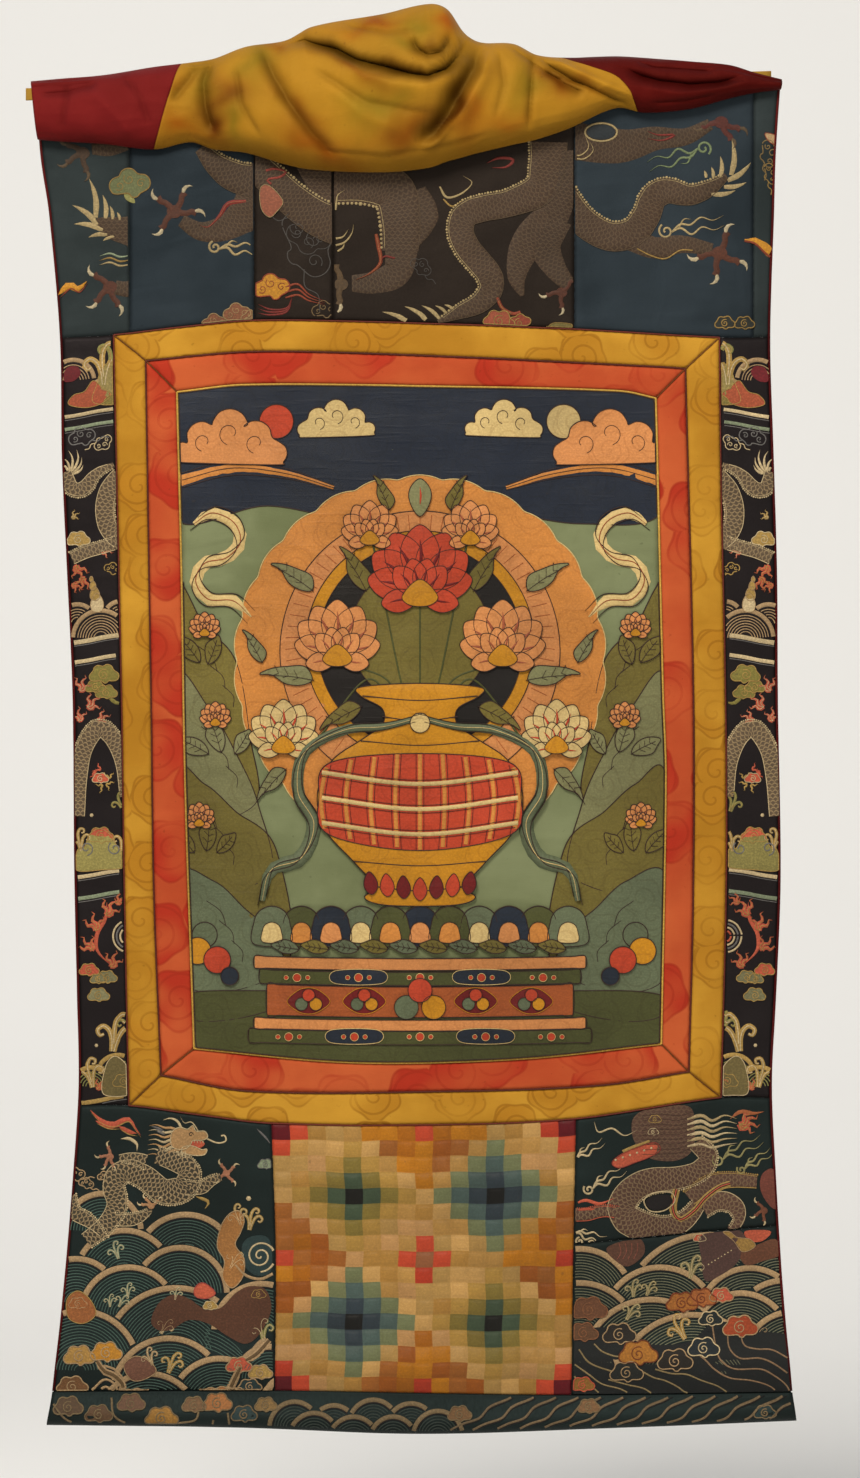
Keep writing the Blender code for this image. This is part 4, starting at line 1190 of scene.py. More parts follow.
    body([(143, 60), (142, 84), (134, 112), (100, 128), (70, 134), (50, 142), (45, 160), (52, 178), (64, 193),
          (76, 208), (79, 224), (66, 240), (44, 250), (20, 261)], 31,
         ([0, 0.12, 0.3, 0.75, 0.9, 1], [1.4, 1.3, 1, 0.95, 0.6, 0.15]), -1)
    claw((158, 228, 22, 20), paw, nail, (150, 70, -70))
    for width, ink in ((4, coral), (1.2, gold)):
        cord([(86, 234), (92, 246), (104, 252), (112, 250)], width, ink, 0.9)
    scroll((88, 260, 17, 8), dye(146, 76, 54), gold, 1.4)
    scroll((110, 262, 13, -20), dye(140, 66, 48), gold, 1.3)
    patch([(142, 268), (150, 262), (170, 264), (170, 272), (144, 274)], dye(110, 98, 54), 0.5, (1.0, gold))
    tipCord([(22, 110), (30, 122), (46, 118), (58, 106), (48, 98)], 2.8, cream)
    tipCord([(26, 124), (36, 132), (50, 124)], 2.2, gold)
    sliver([(74, 84), (88, 78), (104, 80), (96, 88), (80, 89)], 3.6, rose)
    cloudLine((2, 200, 15, 40), grey, 1.0)
    heldTo(5, 5)
    limb([(236, 168), (262, 178), (292, 174), (326, 180)], 28, evenly(1, 0.8, 0.5))
    body([(150, 100), (164, 126), (184, 150), (212, 165), (238, 160), (253, 140), (260, 122), (276, 114), (300, 119),
          (322, 112), (342, 98)], 32, ([0, 0.4, 0.7, 0.9, 1], [1.05, 1.05, 0.95, 0.6, 0.25]))
    cord([(242, 179), (258, 187), (274, 190), (290, 181), (304, 181)], 1.8, gold, 1.2)
    claw((334, 184, 31, 5), paw, nail, (-75, 165, 20, 95))
    rays([(347, 97, 348, 58), (335, 99, 335, 76), (327, 100, 325, 88), (319, 100, 317, 92), (343, 103, 369, 83),
          (339, 110, 364, 105), (325, 118, 352, 114)], 6, cream)
    wisp((300, 154, 36, -8), cream, 2.4)
    wisp((292, 76, 36, 164), dye(112, 124, 88), 2.6)
    limb([(150, 52), (190, 62), (228, 64), (262, 56), (296, 54), (324, 40)], 44,
         ([0, 0.4, 0.7, 1], [1, 0.9, 0.55, 0.3]))
    cord(oval(18, 10, x=202, d=49), 2.6, cream, 1.4, closed=True)
    patch(oval(16, 8.4, x=202, d=49), dye(43, 49, 53), 1.2)
    for points in ([(166, 71), (178, 75), (188, 66), (184, 52)], [(166, 76), (182, 79), (193, 70), (190, 60)]):
        tipCord(points, 2.2, cream, 1.4)
    sliver([(254, 48), (266, 52), (284, 52), (270, 58), (254, 56)], 3.2, rose, 1.4)
    claw((336, 38, 28, 0), dye(84, 44, 38), faint, (165, 20, 60))
    heldTo(5, 6)
    cord([(362, 169), (376, 170), (388, 180), (402, 188)], 13, inks["ochre"], 0.6,
         taper=([0, 0.4, 1], [0.15, 0.7, 1.4]))
    cord([(362, 170), (374, 173), (386, 184), (402, 196)], 2.6, coral, 1.1)
    cloudLine((390, 74, 18, 90), dye(126, 104, 66), 1.5)
    cloudLine((392, 96, 14, 80), gold, 1.2)
    patch([(385, 50), (400, 54), (402, 64), (390, 60)], inks["tan"], 0.5, (1.0, coral))
    for x in (340, 362):
        scroll((x, 262, 11), dye(48, 50, 46), gold, 1.5)
    sliver([(342, 276), (352, 282), (364, 276), (378, 280)], 2.4, gold, 0.6)
    finishWork("heading_dragons", brocade)


workHeading()


# the narrow brocades beside the borders

def workSide(side):
    seam = rings["mount"][side]
    way, outer, ends = (1, leftEdge, (leftEdge, seam)) if side == "left" else (-1, rightEdge, (seam, rightEdge))
    startWork(*ends, headingSeam, lowerSeam)

    def at(u, d, size=0.0, turn=0.0):  # a place by its distance in from the outer edge
        return (float(curveAt(outer, d)) + way * u, d, size, turn * way, way)

    def line(points):
        return [at(u, d)[:2] for u, d in points]

    def fan(u, d, radius):
        return (*at(u, d)[:2], radius)

    cream, gold, coral, olive = inks["cream"], inks["gold"], inks["coral"], inks["olive"]
    fans([fan(14, 300, 26), fan(50, 322, 22)], 5, 3.2, inks["tan"])
    patch(line([(36, 350), (40, 330), (46, 312), (58, 306), (66, 320), (66, 350)]), dye(150, 132, 78), 0.4, (1.0, gold))
    patch(line([(8, 352), (14, 342), (26, 338), (36, 326), (46, 334), (56, 342), (44, 352), (26, 356)]),
          dye(176, 88, 60), 0.55, (1.0, gold))
    patch(line([(48, 352), (52, 344), (62, 342), (66, 352)]), dye(136, 120, 62), 0.6, (0.9, gold))
    patch(line([(3, 326), (6, 312), (18, 310), (22, 318), (14, 326)]), inks["maroon"], 0.4)
    foam(at(48, 306, 26), gold, cream)
    foam(at(60, 292, 20, 10), olive, gold)
    for d, ink, wide in ((362, cream, 4.2), (376, inks["sage"], 4.0), (614, cream, 5.4), (636, cream, 4.6),
                         (876, cream, 4.6), (900, inks["sage"], 4.6), (1128, gold, 5.0)):
        cord(line([(0, d + 5), (20, d + 2), (40, d - 2), (62, d - 5)]), wide, ink, 0.5, step=4)
        cord(line([(0, d + 9), (20, d + 6), (40, d + 2), (62, d - 1)]), 1.0, inks["grey"], 0.4, step=4)
    cloudLine(at(24, 388, 18, -8), inks["grey"], 1.5)
    cloudLine(at(46, 396, 13, 150), cream, 1.2)
    tailFin(at(9, 432, 27, 10), cream, 6, 90)
    scaly, bone = dye(96, 80, 62), cream
    dragonBody(line([(2, 428), (10, 446), (24, 446), (38, 430), (58, 420)]), 17, scaly, bone, -way, 0.75)
    dragonBody(line([(66, 432), (52, 448), (46, 470), (50, 492), (64, 506)]), 22, scaly, bone, way, 0.75,
               evenly(1, 1, 1))
    flame(at(8, 478, 11, 60), gold, cream, 3)
    scroll(at(14, 503, 13), gold, cream, 1.2)
    dragonBody(line([(6, 524), (22, 517), (40, 512), (60, 506)]), 15, scaly, bone, way, 0.7, evenly(1, 1))
    flame(at(40, 515, 14, 100), coral, cream, 3)
    for u, d, s, turn in ((12, 532, 19, 160), (20, 546, 17, 200), (6, 552, 14, 120)):
        flame(at(u, d, s, turn), coral, gold, 3)
    cloudLine(at(52, 536, 11, 20), gold, 1.2)
    for d, s in ((573, 10), (563, 7.5), (554, 5), (547, 3)):
        patch([(0, -1), (0.7, 0), (0.5, 1), (-0.5, 1), (-0.7, 0)], cream if s > 8 else gold, 0.5, (0.9, inks["tan"]),
              at(32 - (572 - d) * 0.2, d, s))
    fans([fan(10, 573, 24), fan(58, 570, 20), fan(36, 580, 34)], 5, 3.0, inks["tan"])
    for u, d, s in ((36, 654, 16), (26, 668, 11), (38, 674, 12)):
        scroll(at(u, d, s), dye(136, 124, 62), gold, 1.3)
    tipCord(line([(42, 680), (50, 686), (60, 684)]), 5, dye(136, 124, 62), 0.6)
    for u, d, s, turn in ((8, 672, 19, 20), (16, 690, 20, 50), (28, 704, 16, 70), (6, 706, 17, 0)):
        flame(at(u, d, s, turn), coral, cream, 3)
    dragonBody(line([(4, 812), (6, 770), (12, 736), (28, 714), (44, 724), (56, 752), (60, 790)]), 21, scaly, bone, way,
               0.8, evenly(0.8, 1, 0.8))
    scroll(at(30, 770, 9), coral, cream, 1.1)
    for turn in range(0, 360, 60):
        flame(at(30 + 9 * math.cos(turn), 770 + 9 * math.sin(turn), 10, turn), coral if turn % 120 else gold, None, 2)
    foam(at(52, 796, 12, -20), olive, gold)
    bead(*at(20, 811)[:2], 4.6, cream, 1.2)
    patch(line([(2, 872), (4, 850), (12, 846), (18, 832), (30, 826), (42, 834), (50, 848), (60, 850), (60, 868),
                (30, 872)]), dye(150, 138, 78), 0.45, (1.2, gold))
    scroll(at(30, 834, 14), coral, gold, 1.2)
    for u, start in ((14, 0.2), (46, 2.8)):
        cord(spiral(1.2, 0.2, start, 20) * 8 + at(u, 848)[:2], 2.0, inks["grey"], 0.95)
    foam(at(6, 838, 14, -10), gold, cream)
    foam(at(56, 838, 14, 10), gold, cream)
    for u, d, s, turn in ((34, 922, 22, 30), (22, 940, 22, -10), (18, 962, 20, -40), (38, 980, 20, 20),
                          (46, 908, 14, 60)):
        flame(at(u, d, s, turn), coral, gold, 3)
    sliver(line([(36, 908), (34, 926), (24, 944), (24, 962), (38, 978)]), 5, coral, 0.6)
    for r, ink in ((18, cream), (14, inks["grey"]), (10, cream), (6, coral)):
        cord(oval(r, r, x=at(60, 946)[0], d=946), 2.2, ink, closed=True)
    for u, d, s in ((14, 984, 11), (34, 992, 11), (24, 1012, 12), (24, 994, 9)):
        scroll(at(u, d, s), dye(130, 124, 88) if d > 986 else coral, gold, 1.2)
    foam(at(42, 1052, 24, 8), gold, cream)
    foam(at(56, 1040, 15, -12), olive, gold)
    bead(*at(20, 1068)[:2], 4.4, cream, 1.2)
    fans([fan(44, 1076, 26), fan(14, 1090, 24)], 5, 3.2, olive, gold)
    patch(line([(28, 1122), (30, 1092), (40, 1080), (52, 1088), (60, 1104), (60, 1122)]), dye(112, 98, 60), 0.5,
          (1.2, cream))
    scroll(at(50, 1108, 12), coral, gold, 1.1)
    foam(at(12, 1098, 18, -12), gold, cream)
    flame(at(20, 1116, 14, 40), coral, gold, 3)
    finishWork(f"side_brocade_{side}", brocade)


for side in ("left", "right"):
    workSide(side)


# the lower brocades and the sleeve

def dragonHead(at, ink, rim, mouth):  # a dragon's head in side view, with its jaw, horns and mane
    for n in range(7):
        d = -0.5 + n * 0.2
        tipCord([(-0.1, d * 0.6), (-0.5, d * 0.8 - 0.05), (-0.8, d + 0.06), (-1.15, d - 0.04), (-1.45, d + 0.02)],
                at[2] * 0.13, rim if n % 2 else ink, 0.6, at=at)
    patch([(-0.5, -0.25), (-0.2, -0.5), (0.15, -0.45), (0.35, -0.62), (0.5, -0.4), (0.85, -0.42), (1.0, -0.2),
           (0.8, -0.05), (0.4, 0.0), (0.3, 0.2), (0.0, 0.4), (-0.45, 0.3)], ink, 0.7, (at[2] * 0.05, rim), at, 0.6)
    patch([(0.0, 0.3), (0.4, 0.22), (0.8, 0.35), (1.0, 0.3), (0.9, 0.55), (0.4, 0.6), (0.0, 0.5)], ink, 0.6,
          (at[2] * 0.05, rim), at)
    patch([(0.3, 0.05), (0.75, 0.0), (0.9, 0.1), (0.7, 0.28), (0.35, 0.22)], mouth, 0.6, None, at)
    tipCord([(-0.1, -0.45), (-0.3, -0.75), (-0.6, -0.85), (-0.9, -0.75)], at[2] * 0.12, rim, 0.7, at=at)
    cord([(0.9, -0.15), (1.4, 0.02), (1.75, -0.08), (1.7, -0.3), (1.55, -0.28)], at[2] * 0.07, rim, 0.6, at=at)
    tipCord([(0.6, -0.4), (0.3, -0.75), (0.0, -0.7), (-0.2, -0.95)], at[2] * 0.06, rim, 0.6, at=at)
    for n in range(4):
        tipCord([(0.45 + n * 0.12, -0.02), (0.48 + n * 0.12, 0.1)], at[2] * 0.06, rim, 0.95, at=at, step=1.2)
    cord(spiral(1.0, 0.3, 0, 10) * 0.1 + (0.3, -0.25), at[2] * 0.05, inks["ink"], 1.4, at=at, step=1.2)
    for n in range(3):
        tipCord([(0.1 - n * 0.15, 0.45), (0.15 - n * 0.15, 0.7), (0.0 - n * 0.15, 0.9)], at[2] * 0.1, rim, 0.6, at=at)


def workLowerLeft():
    startWork(leftEdge, doorLeft, lowerSeam, sleeveSeam)
    cream, gold, coral, tan = inks["cream"], inks["gold"], inks["coral"], inks["tan"]
    for points in ([(-368, 1140), (-356, 1152), (-342, 1156), (-326, 1150), (-318, 1160), (-312, 1168)],
                   [(-362, 1152), (-348, 1158), (-334, 1158)], [(-336, 1158), (-326, 1164), (-316, 1166)]):
        sliver(points, 6.5, coral, 0.5)
        sliver([(x + 1, d + 3) for x, d in points], 1.4, gold, 0.7)
    for x, d, s, turn in ((-384, 1212, 13, 0), (-372, 1222, 10, 20), (-352, 1214, 9, 0)):
        cloudLine((x, d, s, turn), inks["tan"], 1.4)
    fans([(-354, 1230, 46), (-261, 1253, 59), (-330, 1271, 58), (-267, 1290, 55), (-384, 1303, 52), (-325, 1312, 57),
          (-272, 1335, 84), (-176, 1330, 57), (-379, 1361, 69), (-280, 1391, 66), (-223, 1413, 58), (-303, 1430, 60),
          (-168, 1400, 40)], 6.6, 3.3)
    scaly = dye(66, 60, 48)
    dragonBody([(-372, 1286), (-350, 1268), (-338, 1246), (-342, 1222), (-328, 1208), (-306, 1216), (-286, 1231),
                (-262, 1226), (-258, 1206), (-276, 1196), (-294, 1190)], 24, scaly, cream, -1, 0.95,
               ([0, 0.3, 0.7, 1], [0.8, 1.05, 1.25, 0.8]))
    dragonBody([(-392, 1236), (-386, 1254), (-372, 1262), (-360, 1272), (-350, 1284)], 17, scaly, cream, 1, 0.9)
    dragonBody([(-262, 1226), (-244, 1226), (-232, 1218), (-222, 1214)], 15, scaly, cream, 1, 0.9, evenly(1.2, 1, 0.6),
               9)
    claw((-216, 1210, 15, -10), dye(168, 112, 84), cream, (-110, -30, 60, 150))
    dragonBody([(-306, 1198), (-320, 1194), (-336, 1194)], 14, scaly, cream, 1, 0.9, evenly(1.2, 1, 0.6), 9)
    claw((-346, 1192, 15, 10), dye(168, 112, 84), cream, (170, -110, 110, 60))
    sliver([(-334, 1172), (-324, 1172), (-316, 1178), (-316, 1186)], 4, cream)
    dragonBody([(-340, 1262), (-322, 1262), (-306, 1256), (-302, 1250)], 15, scaly, cream, 1, 0.9, evenly(1, 1, 0.5), 9)
    claw((-300, 1247, 14, 0), dye(176, 130, 90), cream, (-125, -40, 190))
    sliver([(-250, 1236), (-236, 1242), (-240, 1250)], 4, gold)
    dragonHead((-264, 1173, 27, 4), dye(182, 140, 92), cream, coral)
    for n in range(3):
        sliver([(-300 + n * 3, 1158 + n * 3), (-292, 1160 + n * 2), (-284, 1164 + n * 2)], 2.2, inks["grey"])
    bead(-191, 1238, 6, cream, 1.6)
    scroll((-172, 1200, 9), inks["sage"], inks["grey"], 1.0)
    sliver([(-182, 1160), (-172, 1170), (-166, 1178)], 2.4, inks["grey"])
    # rocks, foam and curls among the waves
    patch([(-213, 1256), (-202, 1252), (-196, 1262), (-200, 1276), (-206, 1290), (-196, 1306), (-198, 1326),
           (-210, 1338), (-220, 1326), (-218, 1308), (-226, 1292), (-222, 1270)], dye(164, 112, 62), 0.6, (1.4, tan))
    foam((-188, 1260, 14, 10), gold, cream)
    foam((-204, 1256, 13, -20), gold, cream)
    foam((-206, 1306, 12, 30), gold, cream)
    patch([(-198, 1290), (-186, 1280), (-168, 1284), (-166, 1318), (-182, 1324), (-196, 1312)], inks["teal"], 0.45)
    cord(spiral(2.2, 0.06, 0.3, 44) * 18 + (-178, 1302), 2.8, cream, 0.9)
    cord([(-206, 1312), (-194, 1324), (-178, 1328), (-164, 1322)], 3.4, tan, 0.9)
    for x, d, s, turn in ((-340, 1296, 11, -20), (-326, 1340, 9, 0), (-346, 1352, 8, 0), (-332, 1352, 9, 30),
                          (-272, 1344, 8, 10)):
        foam((x, d, s, turn), inks["sage"], cream)
    patch([(-252, 1340), (-246, 1333), (-238, 1334), (-228, 1344), (-238, 1350), (-250, 1348)], coral, 0.6,
          (1.0, inks["rose"]))
    scroll((-234, 1358, 8), gold, cream, 1.0)
    patch([(-300, 1376), (-292, 1356), (-276, 1346), (-258, 1350), (-240, 1362), (-222, 1360), (-206, 1344),
           (-190, 1336), (-172, 1340), (-166, 1362), (-178, 1388), (-194, 1400), (-214, 1392), (-236, 1378),
           (-258, 1374), (-276, 1384), (-290, 1386)], dye(92, 60, 44), 0.6)
    for n in range(6):
        cord([(-240, 1384 + n * 4), (-224, 1390 + n * 4), (-208, 1400 + n * 4), (-198, 1410 + n * 3)], 1.25,
             dye(70, 92, 82), 0.35, step=3)
    scroll((-180, 1345, 8), coral, gold, 1.0)
    foam((-284, 1380, 11, 30), cream, tan)
    patch([(-394, 1352), (-382, 1342), (-368, 1352), (-362, 1368), (-376, 1378), (-392, 1372)], dye(150, 92, 52), 0.7,
          (1.2, gold))
    scroll((-382, 1356, 10), dye(160, 96, 50), tan, 1.1)
    foam((-176, 1384, 14, -6), inks["olive"], cream)
    cord([(-190, 1412), (-180, 1400), (-172, 1394)], 5, tan, 0.6)
    for x, d, s, ink in ((-380, 1414, 17, dye(168, 128, 66)), (-350, 1410, 17, inks["ochre"]),
                         (-388, 1448, 17, dye(120, 84, 54)), (-320, 1462, 17, dye(112, 78, 64)),
                         (-226, 1462, 20, dye(186, 116, 62)), (-202, 1424, 14, coral),
                         (-280, 1480, 22, dye(178, 124, 56)), (-178, 1432, 13, gold), (-190, 1448, 13, inks["teal"]),
                         (-176, 1470, 13, gold), (-204, 1456, 10, inks["teal"])):
        scroll((x, d, s), ink, tan, 1.7)
    for points in ([(-360, 1419), (-352, 1430), (-340, 1436), (-331, 1448), (-338, 1466), (-350, 1476)],
                   [(-404, 1456), (-386, 1470), (-366, 1472), (-350, 1462)],
                   [(-200, 1426), (-206, 1438), (-212, 1450), (-222, 1458)], [(-160, 1440), (-170, 1452), (-176, 1468)],
                   [(-168, 1396), (-182, 1411), (-194, 1418)]):
        for wide, ink, lift in ((9, tan, 0.8), (5.6, dye(104, 82, 54), 1.15)):
            cord(points, wide, ink, lift, taper=([0, 0.2, 0.8, 1], [0.7, 1, 1, 0.6]))
    for points in ([(-398, 1466), (-384, 1464), (-366, 1452), (-352, 1440), (-340, 1446), (-338, 1460), (-350, 1474)],
                   [(-352, 1424), (-338, 1430), (-330, 1444), (-330, 1466)],
                   [(-362, 1456), (-350, 1448), (-344, 1458), (-356, 1468)], [(-402, 1458), (-392, 1472), (-380, 1482)],
                   [(-336, 1480), (-322, 1484), (-300, 1476)], [(-250, 1478), (-238, 1484), (-222, 1480)]):
        swell(points, tan, 2.8)
    patch([(-330, 1424), (-318, 1414), (-304, 1418), (-294, 1430), (-308, 1440), (-322, 1440)], dye(112, 76, 60), 0.7,
          (1.2, tan))
    foam((-276, 1420, 14, 20), dye(176, 140, 70), cream)
    foam((-302, 1414, 11, -20), inks["tan"], cream)
    finishWork("lower_brocade_left", brocade)


def workLowerRight():
    startWork(doorRight, rightEdge, lowerSeam, waveSeam)
    cream, gold, coral = inks["cream"], inks["gold"], inks["coral"]
    dark = dye(92, 66, 54)
    patch([(240, 1146), (262, 1136), (300, 1136), (306, 1158), (304, 1184), (286, 1196), (258, 1194), (242, 1180),
           (236, 1162)], dark, 0.5, scales=0.15)
    for n in range(9):
        cord([(248, 1146 + n * 5.4), (268, 1144 + n * 5.6), (288, 1146 + n * 5.2), (303, 1142 + n * 5)], 0.9,
             inks["darkBrown"], 1.0)
    sliver([(194, 1152), (199, 1164), (214, 1160), (228, 1168), (242, 1162)], 2.2, cream)
    patch([(214, 1198), (226, 1188), (246, 1180), (262, 1176), (268, 1184), (256, 1192), (240, 1198), (222, 1204)],
          coral, 0.7, (1.2, dye(150, 60, 50)))
    for n in range(6):
        bead(218 + n * 8, 1195 - n * 2.6, 3.4, cream, 1.6)
    cord([(226, 1186), (240, 1180), (256, 1174)], 4, gold, 1.1)
    scroll((262, 1150, 7), dark, gold, 1.0)
    scroll((260, 1164, 6), dark, cream, 1.0)
    dragonBody([(308, 1176), (322, 1192), (312, 1208), (288, 1216), (254, 1220), (232, 1234), (226, 1254), (244, 1268),
                (272, 1272), (296, 1262), (310, 1246)], 25, dark, cream, 1, 0.4,
               ([0, 0.4, 0.7, 1], [0.8, 1.2, 1.4, 0.7]))
    dragonBody([(300, 1238), (322, 1222), (348, 1218), (376, 1220)], 19, dark, gold, 1, 0.3, evenly(1, 1, 0.8), 9)
    dragonBody([(316, 1250), (332, 1242), (350, 1246), (356, 1262), (346, 1274)], 22, dark, cream, -1, 0.4)
    for wide, ink in ((9, gold), (5, inks["ink"]), (2.2, coral)):
        cord([(286, 1228), (282, 1250), (290, 1262), (306, 1252), (318, 1238), (334, 1226), (346, 1222)], wide, ink,
             1.1 + (9 - wide) * 0.06)
    cord([(250, 1240), (262, 1232), (280, 1232), (284, 1242), (272, 1252), (256, 1252)], 1.6, cream, 1.6, closed=True)
    patch([(252, 1241), (262, 1235), (278, 1235), (281, 1243), (272, 1250), (257, 1250)], inks["ink"], 1.3)
    for n in range(6):
        tipCord([(298, 1150 + n * 6), (314, 1146 + n * 6.4), (326, 1152 + n * 6), (340, 1146 + n * 6.6),
                 (354, 1150 + n * 5.4)], 4.4, cream if n % 2 else dye(176, 152, 108), 0.8)
    flame((356, 1156, 26, 78), coral, gold, 4)
    sliver([(346, 1150), (358, 1142), (372, 1144), (384, 1142)], 5, dye(176, 100, 60), 0.6)
    for at in ((184, 1186, 22, -30), (204, 1218, 26, -28), (352, 1186, 30, -24), (184, 1278, 22, 15),
               (192, 1290, 20, 20), (372, 1198, 22, -30)):
        wisp(at, cream if at[0] < 300 else dye(150, 140, 92), 2.4)
    for points in ([(170, 1246), (184, 1240), (200, 1244), (216, 1238)], [(170, 1252), (188, 1250), (204, 1252)]):
        sliver(points, 4, coral, 0.7)
    dragonBody([(168, 1256), (186, 1256), (204, 1252), (224, 1254)], 15, dark, coral, 1, 0.4, evenly(1, 0.9), 9)
    patch([(382, 1212), (394, 1206), (400, 1226), (398, 1250), (388, 1244), (380, 1228)], dye(120, 66, 54), 0.6)
    claw((384, 1252, 15, 30), dye(120, 72, 52), cream, (-160, 60, 120))
    finishWork("lower_brocade_right", brocade)


def workWaves():
    startWork(doorRight, rightEdge, waveSeam, sleeveSeam)
    cream, coral, tan = inks["cream"], inks["coral"], inks["tan"]
    lines = dye(112, 112, 88)
    fans([(321, 1276, 100), (400, 1290, 50), (178, 1291, 63), (268, 1312, 68), (368, 1313, 60), (406, 1327, 60),
          (178, 1329, 70), (258, 1348, 80), (358, 1341, 58), (304, 1365, 90), (415, 1362, 56), (175, 1385, 50)], 6.6,
         3.1, lines)
    patch([(208, 1294), (226, 1286), (246, 1284), (250, 1300), (232, 1314), (216, 1306)], dye(98, 66, 52), 0.6)
    for n in range(4):
        cord([(222 + n * 7, 1288), (224 + n * 6, 1298), (220 + n * 6, 1306)], 1.0, dye(150, 84, 70), 0.95)
    patch([(312, 1282), (330, 1276), (356, 1274), (364, 1290), (352, 1312), (332, 1326), (318, 1330), (314, 1306)],
          dye(86, 62, 56), 0.6)
    for n in range(8):
        bead(322 + n * 3.6, 1312 - n * 2.2, 2.2, cream, 1.3)
    patch([(352, 1286), (370, 1292), (396, 1284), (404, 1300), (384, 1308), (362, 1312)], dye(104, 66, 48), 0.6)
    patch([(362, 1276), (378, 1274), (392, 1276), (382, 1286), (368, 1286)], coral, 0.7)
    patch([(338, 1276), (350, 1286), (360, 1298), (374, 1292), (368, 1284), (354, 1282), (346, 1276)],
          dye(160, 124, 66), 0.8, (1.1, tan))
    scroll((312, 1283, 7), coral, cream, 1.0)
    for x, d, s, turn in ((304, 1314, 15, 10), (238, 1338, 11, 0), (256, 1338, 10, 20), (236, 1364, 12, 30),
                          (288, 1382, 16, -30)):
        foam((x, d, s, turn), dye(150, 136, 88) if d < 1370 else dye(176, 136, 66), cream)
    patch([(160, 1398), (206, 1382), (250, 1400), (300, 1398), (330, 1376), (380, 1386), (425, 1400), (425, 1470),
           (160, 1470)], dye(30, 33, 34), 0.62, None, None, 0.1, 4, 12)
    for points in ([(177, 1406), (189, 1421), (212, 1430), (226, 1434)],
                   [(194, 1400), (204, 1409), (222, 1414), (232, 1406)],
                   [(170, 1421), (188, 1434), (203, 1445), (224, 1451), (241, 1461)],
                   [(210, 1440), (232, 1446), (249, 1450), (263, 1458), (283, 1463)],
                   [(240, 1426), (259, 1437), (273, 1441), (287, 1448), (298, 1455), (322, 1457)],
                   [(262, 1428), (280, 1433), (297, 1434), (314, 1441), (331, 1447), (342, 1454)],
                   [(308, 1410), (318, 1418), (328, 1428), (345, 1438), (369, 1441), (389, 1447), (400, 1456)],
                   [(326, 1380), (331, 1409), (338, 1421), (352, 1428), (379, 1428), (394, 1435), (408, 1446),
                    (414, 1458)], [(343, 1388), (345, 1405), (357, 1416), (379, 1416), (396, 1423), (414, 1436)],
                   [(357, 1388), (362, 1402), (376, 1406), (393, 1407), (412, 1417)],
                   [(186, 1440), (196, 1452), (208, 1462)], [(172, 1436), (182, 1450), (188, 1462)]):
        cord(points, 2.4, dye(142, 122, 84) if points[0][0] < 300 else dye(146, 116, 86), 1.1, step=3)
    for x, d, s, ink, rim in ((188, 1362, 20, dye(112, 74, 52), dye(140, 92, 62)),
                              (182, 1388, 16, dye(104, 72, 50), dye(140, 92, 62)),
                              (292, 1355, 17, dye(168, 104, 48), dye(120, 60, 36)),
                              (314, 1350, 16, dye(166, 98, 52), dye(120, 60, 36)), (336, 1347, 13, coral, tan),
                              (357, 1382, 19, dye(166, 74, 44), tan), (222, 1390, 18, dye(42, 38, 34), tan),
                              (324, 1373, 13, dye(36, 42, 42), cream), (316, 1405, 17, dye(34, 42, 46), cream),
                              (243, 1411, 21, dye(166, 108, 44), dye(112, 60, 36)),
                              (284, 1419, 19, dye(42, 38, 34), tan), (230, 1432, 18, dye(40, 42, 40), tan),
                              (181, 1446, 13, dye(150, 106, 52), coral)):
        scroll((x, d, s), ink, rim, 1.8, 1.1)
    foam((378, 1390, 12, 30), dye(36, 42, 42), tan)
    finishWork("lower_brocade_waves", brocade)


def workSleeve():
    startWork(leftEdge, rightEdge, [(x, d + 0.5) for x, d in sleeveSeam], [(x, d - 2.5) for x, d in sleeveBottom])
    tan = dye(126, 106, 76)
    for n in range(15):
        x = 60 + n * 25
        swell([(x - 34, 1500), (x - 14, 1489), (x + 6, 1482), (x + 18, 1470), (x + 38, 1462), (x + 52, 1454)],
              dye(118, 98, 72), 2.6)
    fans([(-140, 1462, 30), (-96, 1466, 28), (-118, 1474, 30), (-52, 1460, 30), (-10, 1464, 30), (-74, 1478, 30),
          (-30, 1478, 28), (20, 1472, 30)], 5, 3.2, dye(56, 66, 60), tan)
    for x, d, s, ink in ((-392, 1470, 16, dye(96, 74, 54)), (-358, 1478, 15, dye(104, 78, 56)),
                         (-322, 1466, 15, dye(110, 80, 60)), (-288, 1482, 18, dye(160, 116, 56)),
                         (-252, 1468, 13, dye(120, 90, 62)), (-226, 1466, 16, dye(160, 104, 58)),
                         (-196, 1478, 14, inks["teal"]), (-172, 1468, 12, dye(140, 110, 66)),
                         (188, 1470, 12, dye(120, 88, 58)), (384, 1476, 12, inks["teal"]),
                         (44, 1478, 13, dye(120, 88, 56))):
        scroll((x, d, s), ink, tan, 1.7)
    for points in ([(-412, 1462), (-396, 1482), (-380, 1490)], [(-344, 1460), (-340, 1480), (-320, 1490), (-306, 1488)],
                   [(-270, 1488), (-250, 1484), (-246, 1470)], [(-214, 1476), (-212, 1492)],
                   [(-230, 1484), (-232, 1494)]):
        swell(points, tan, 2.4)
    finishWork("sleeve_brocade", brocade)


workLowerLeft()
workLowerRight()
workWaves()
workSleeve()


# the applique picture: a vase of flowers in front of a disc

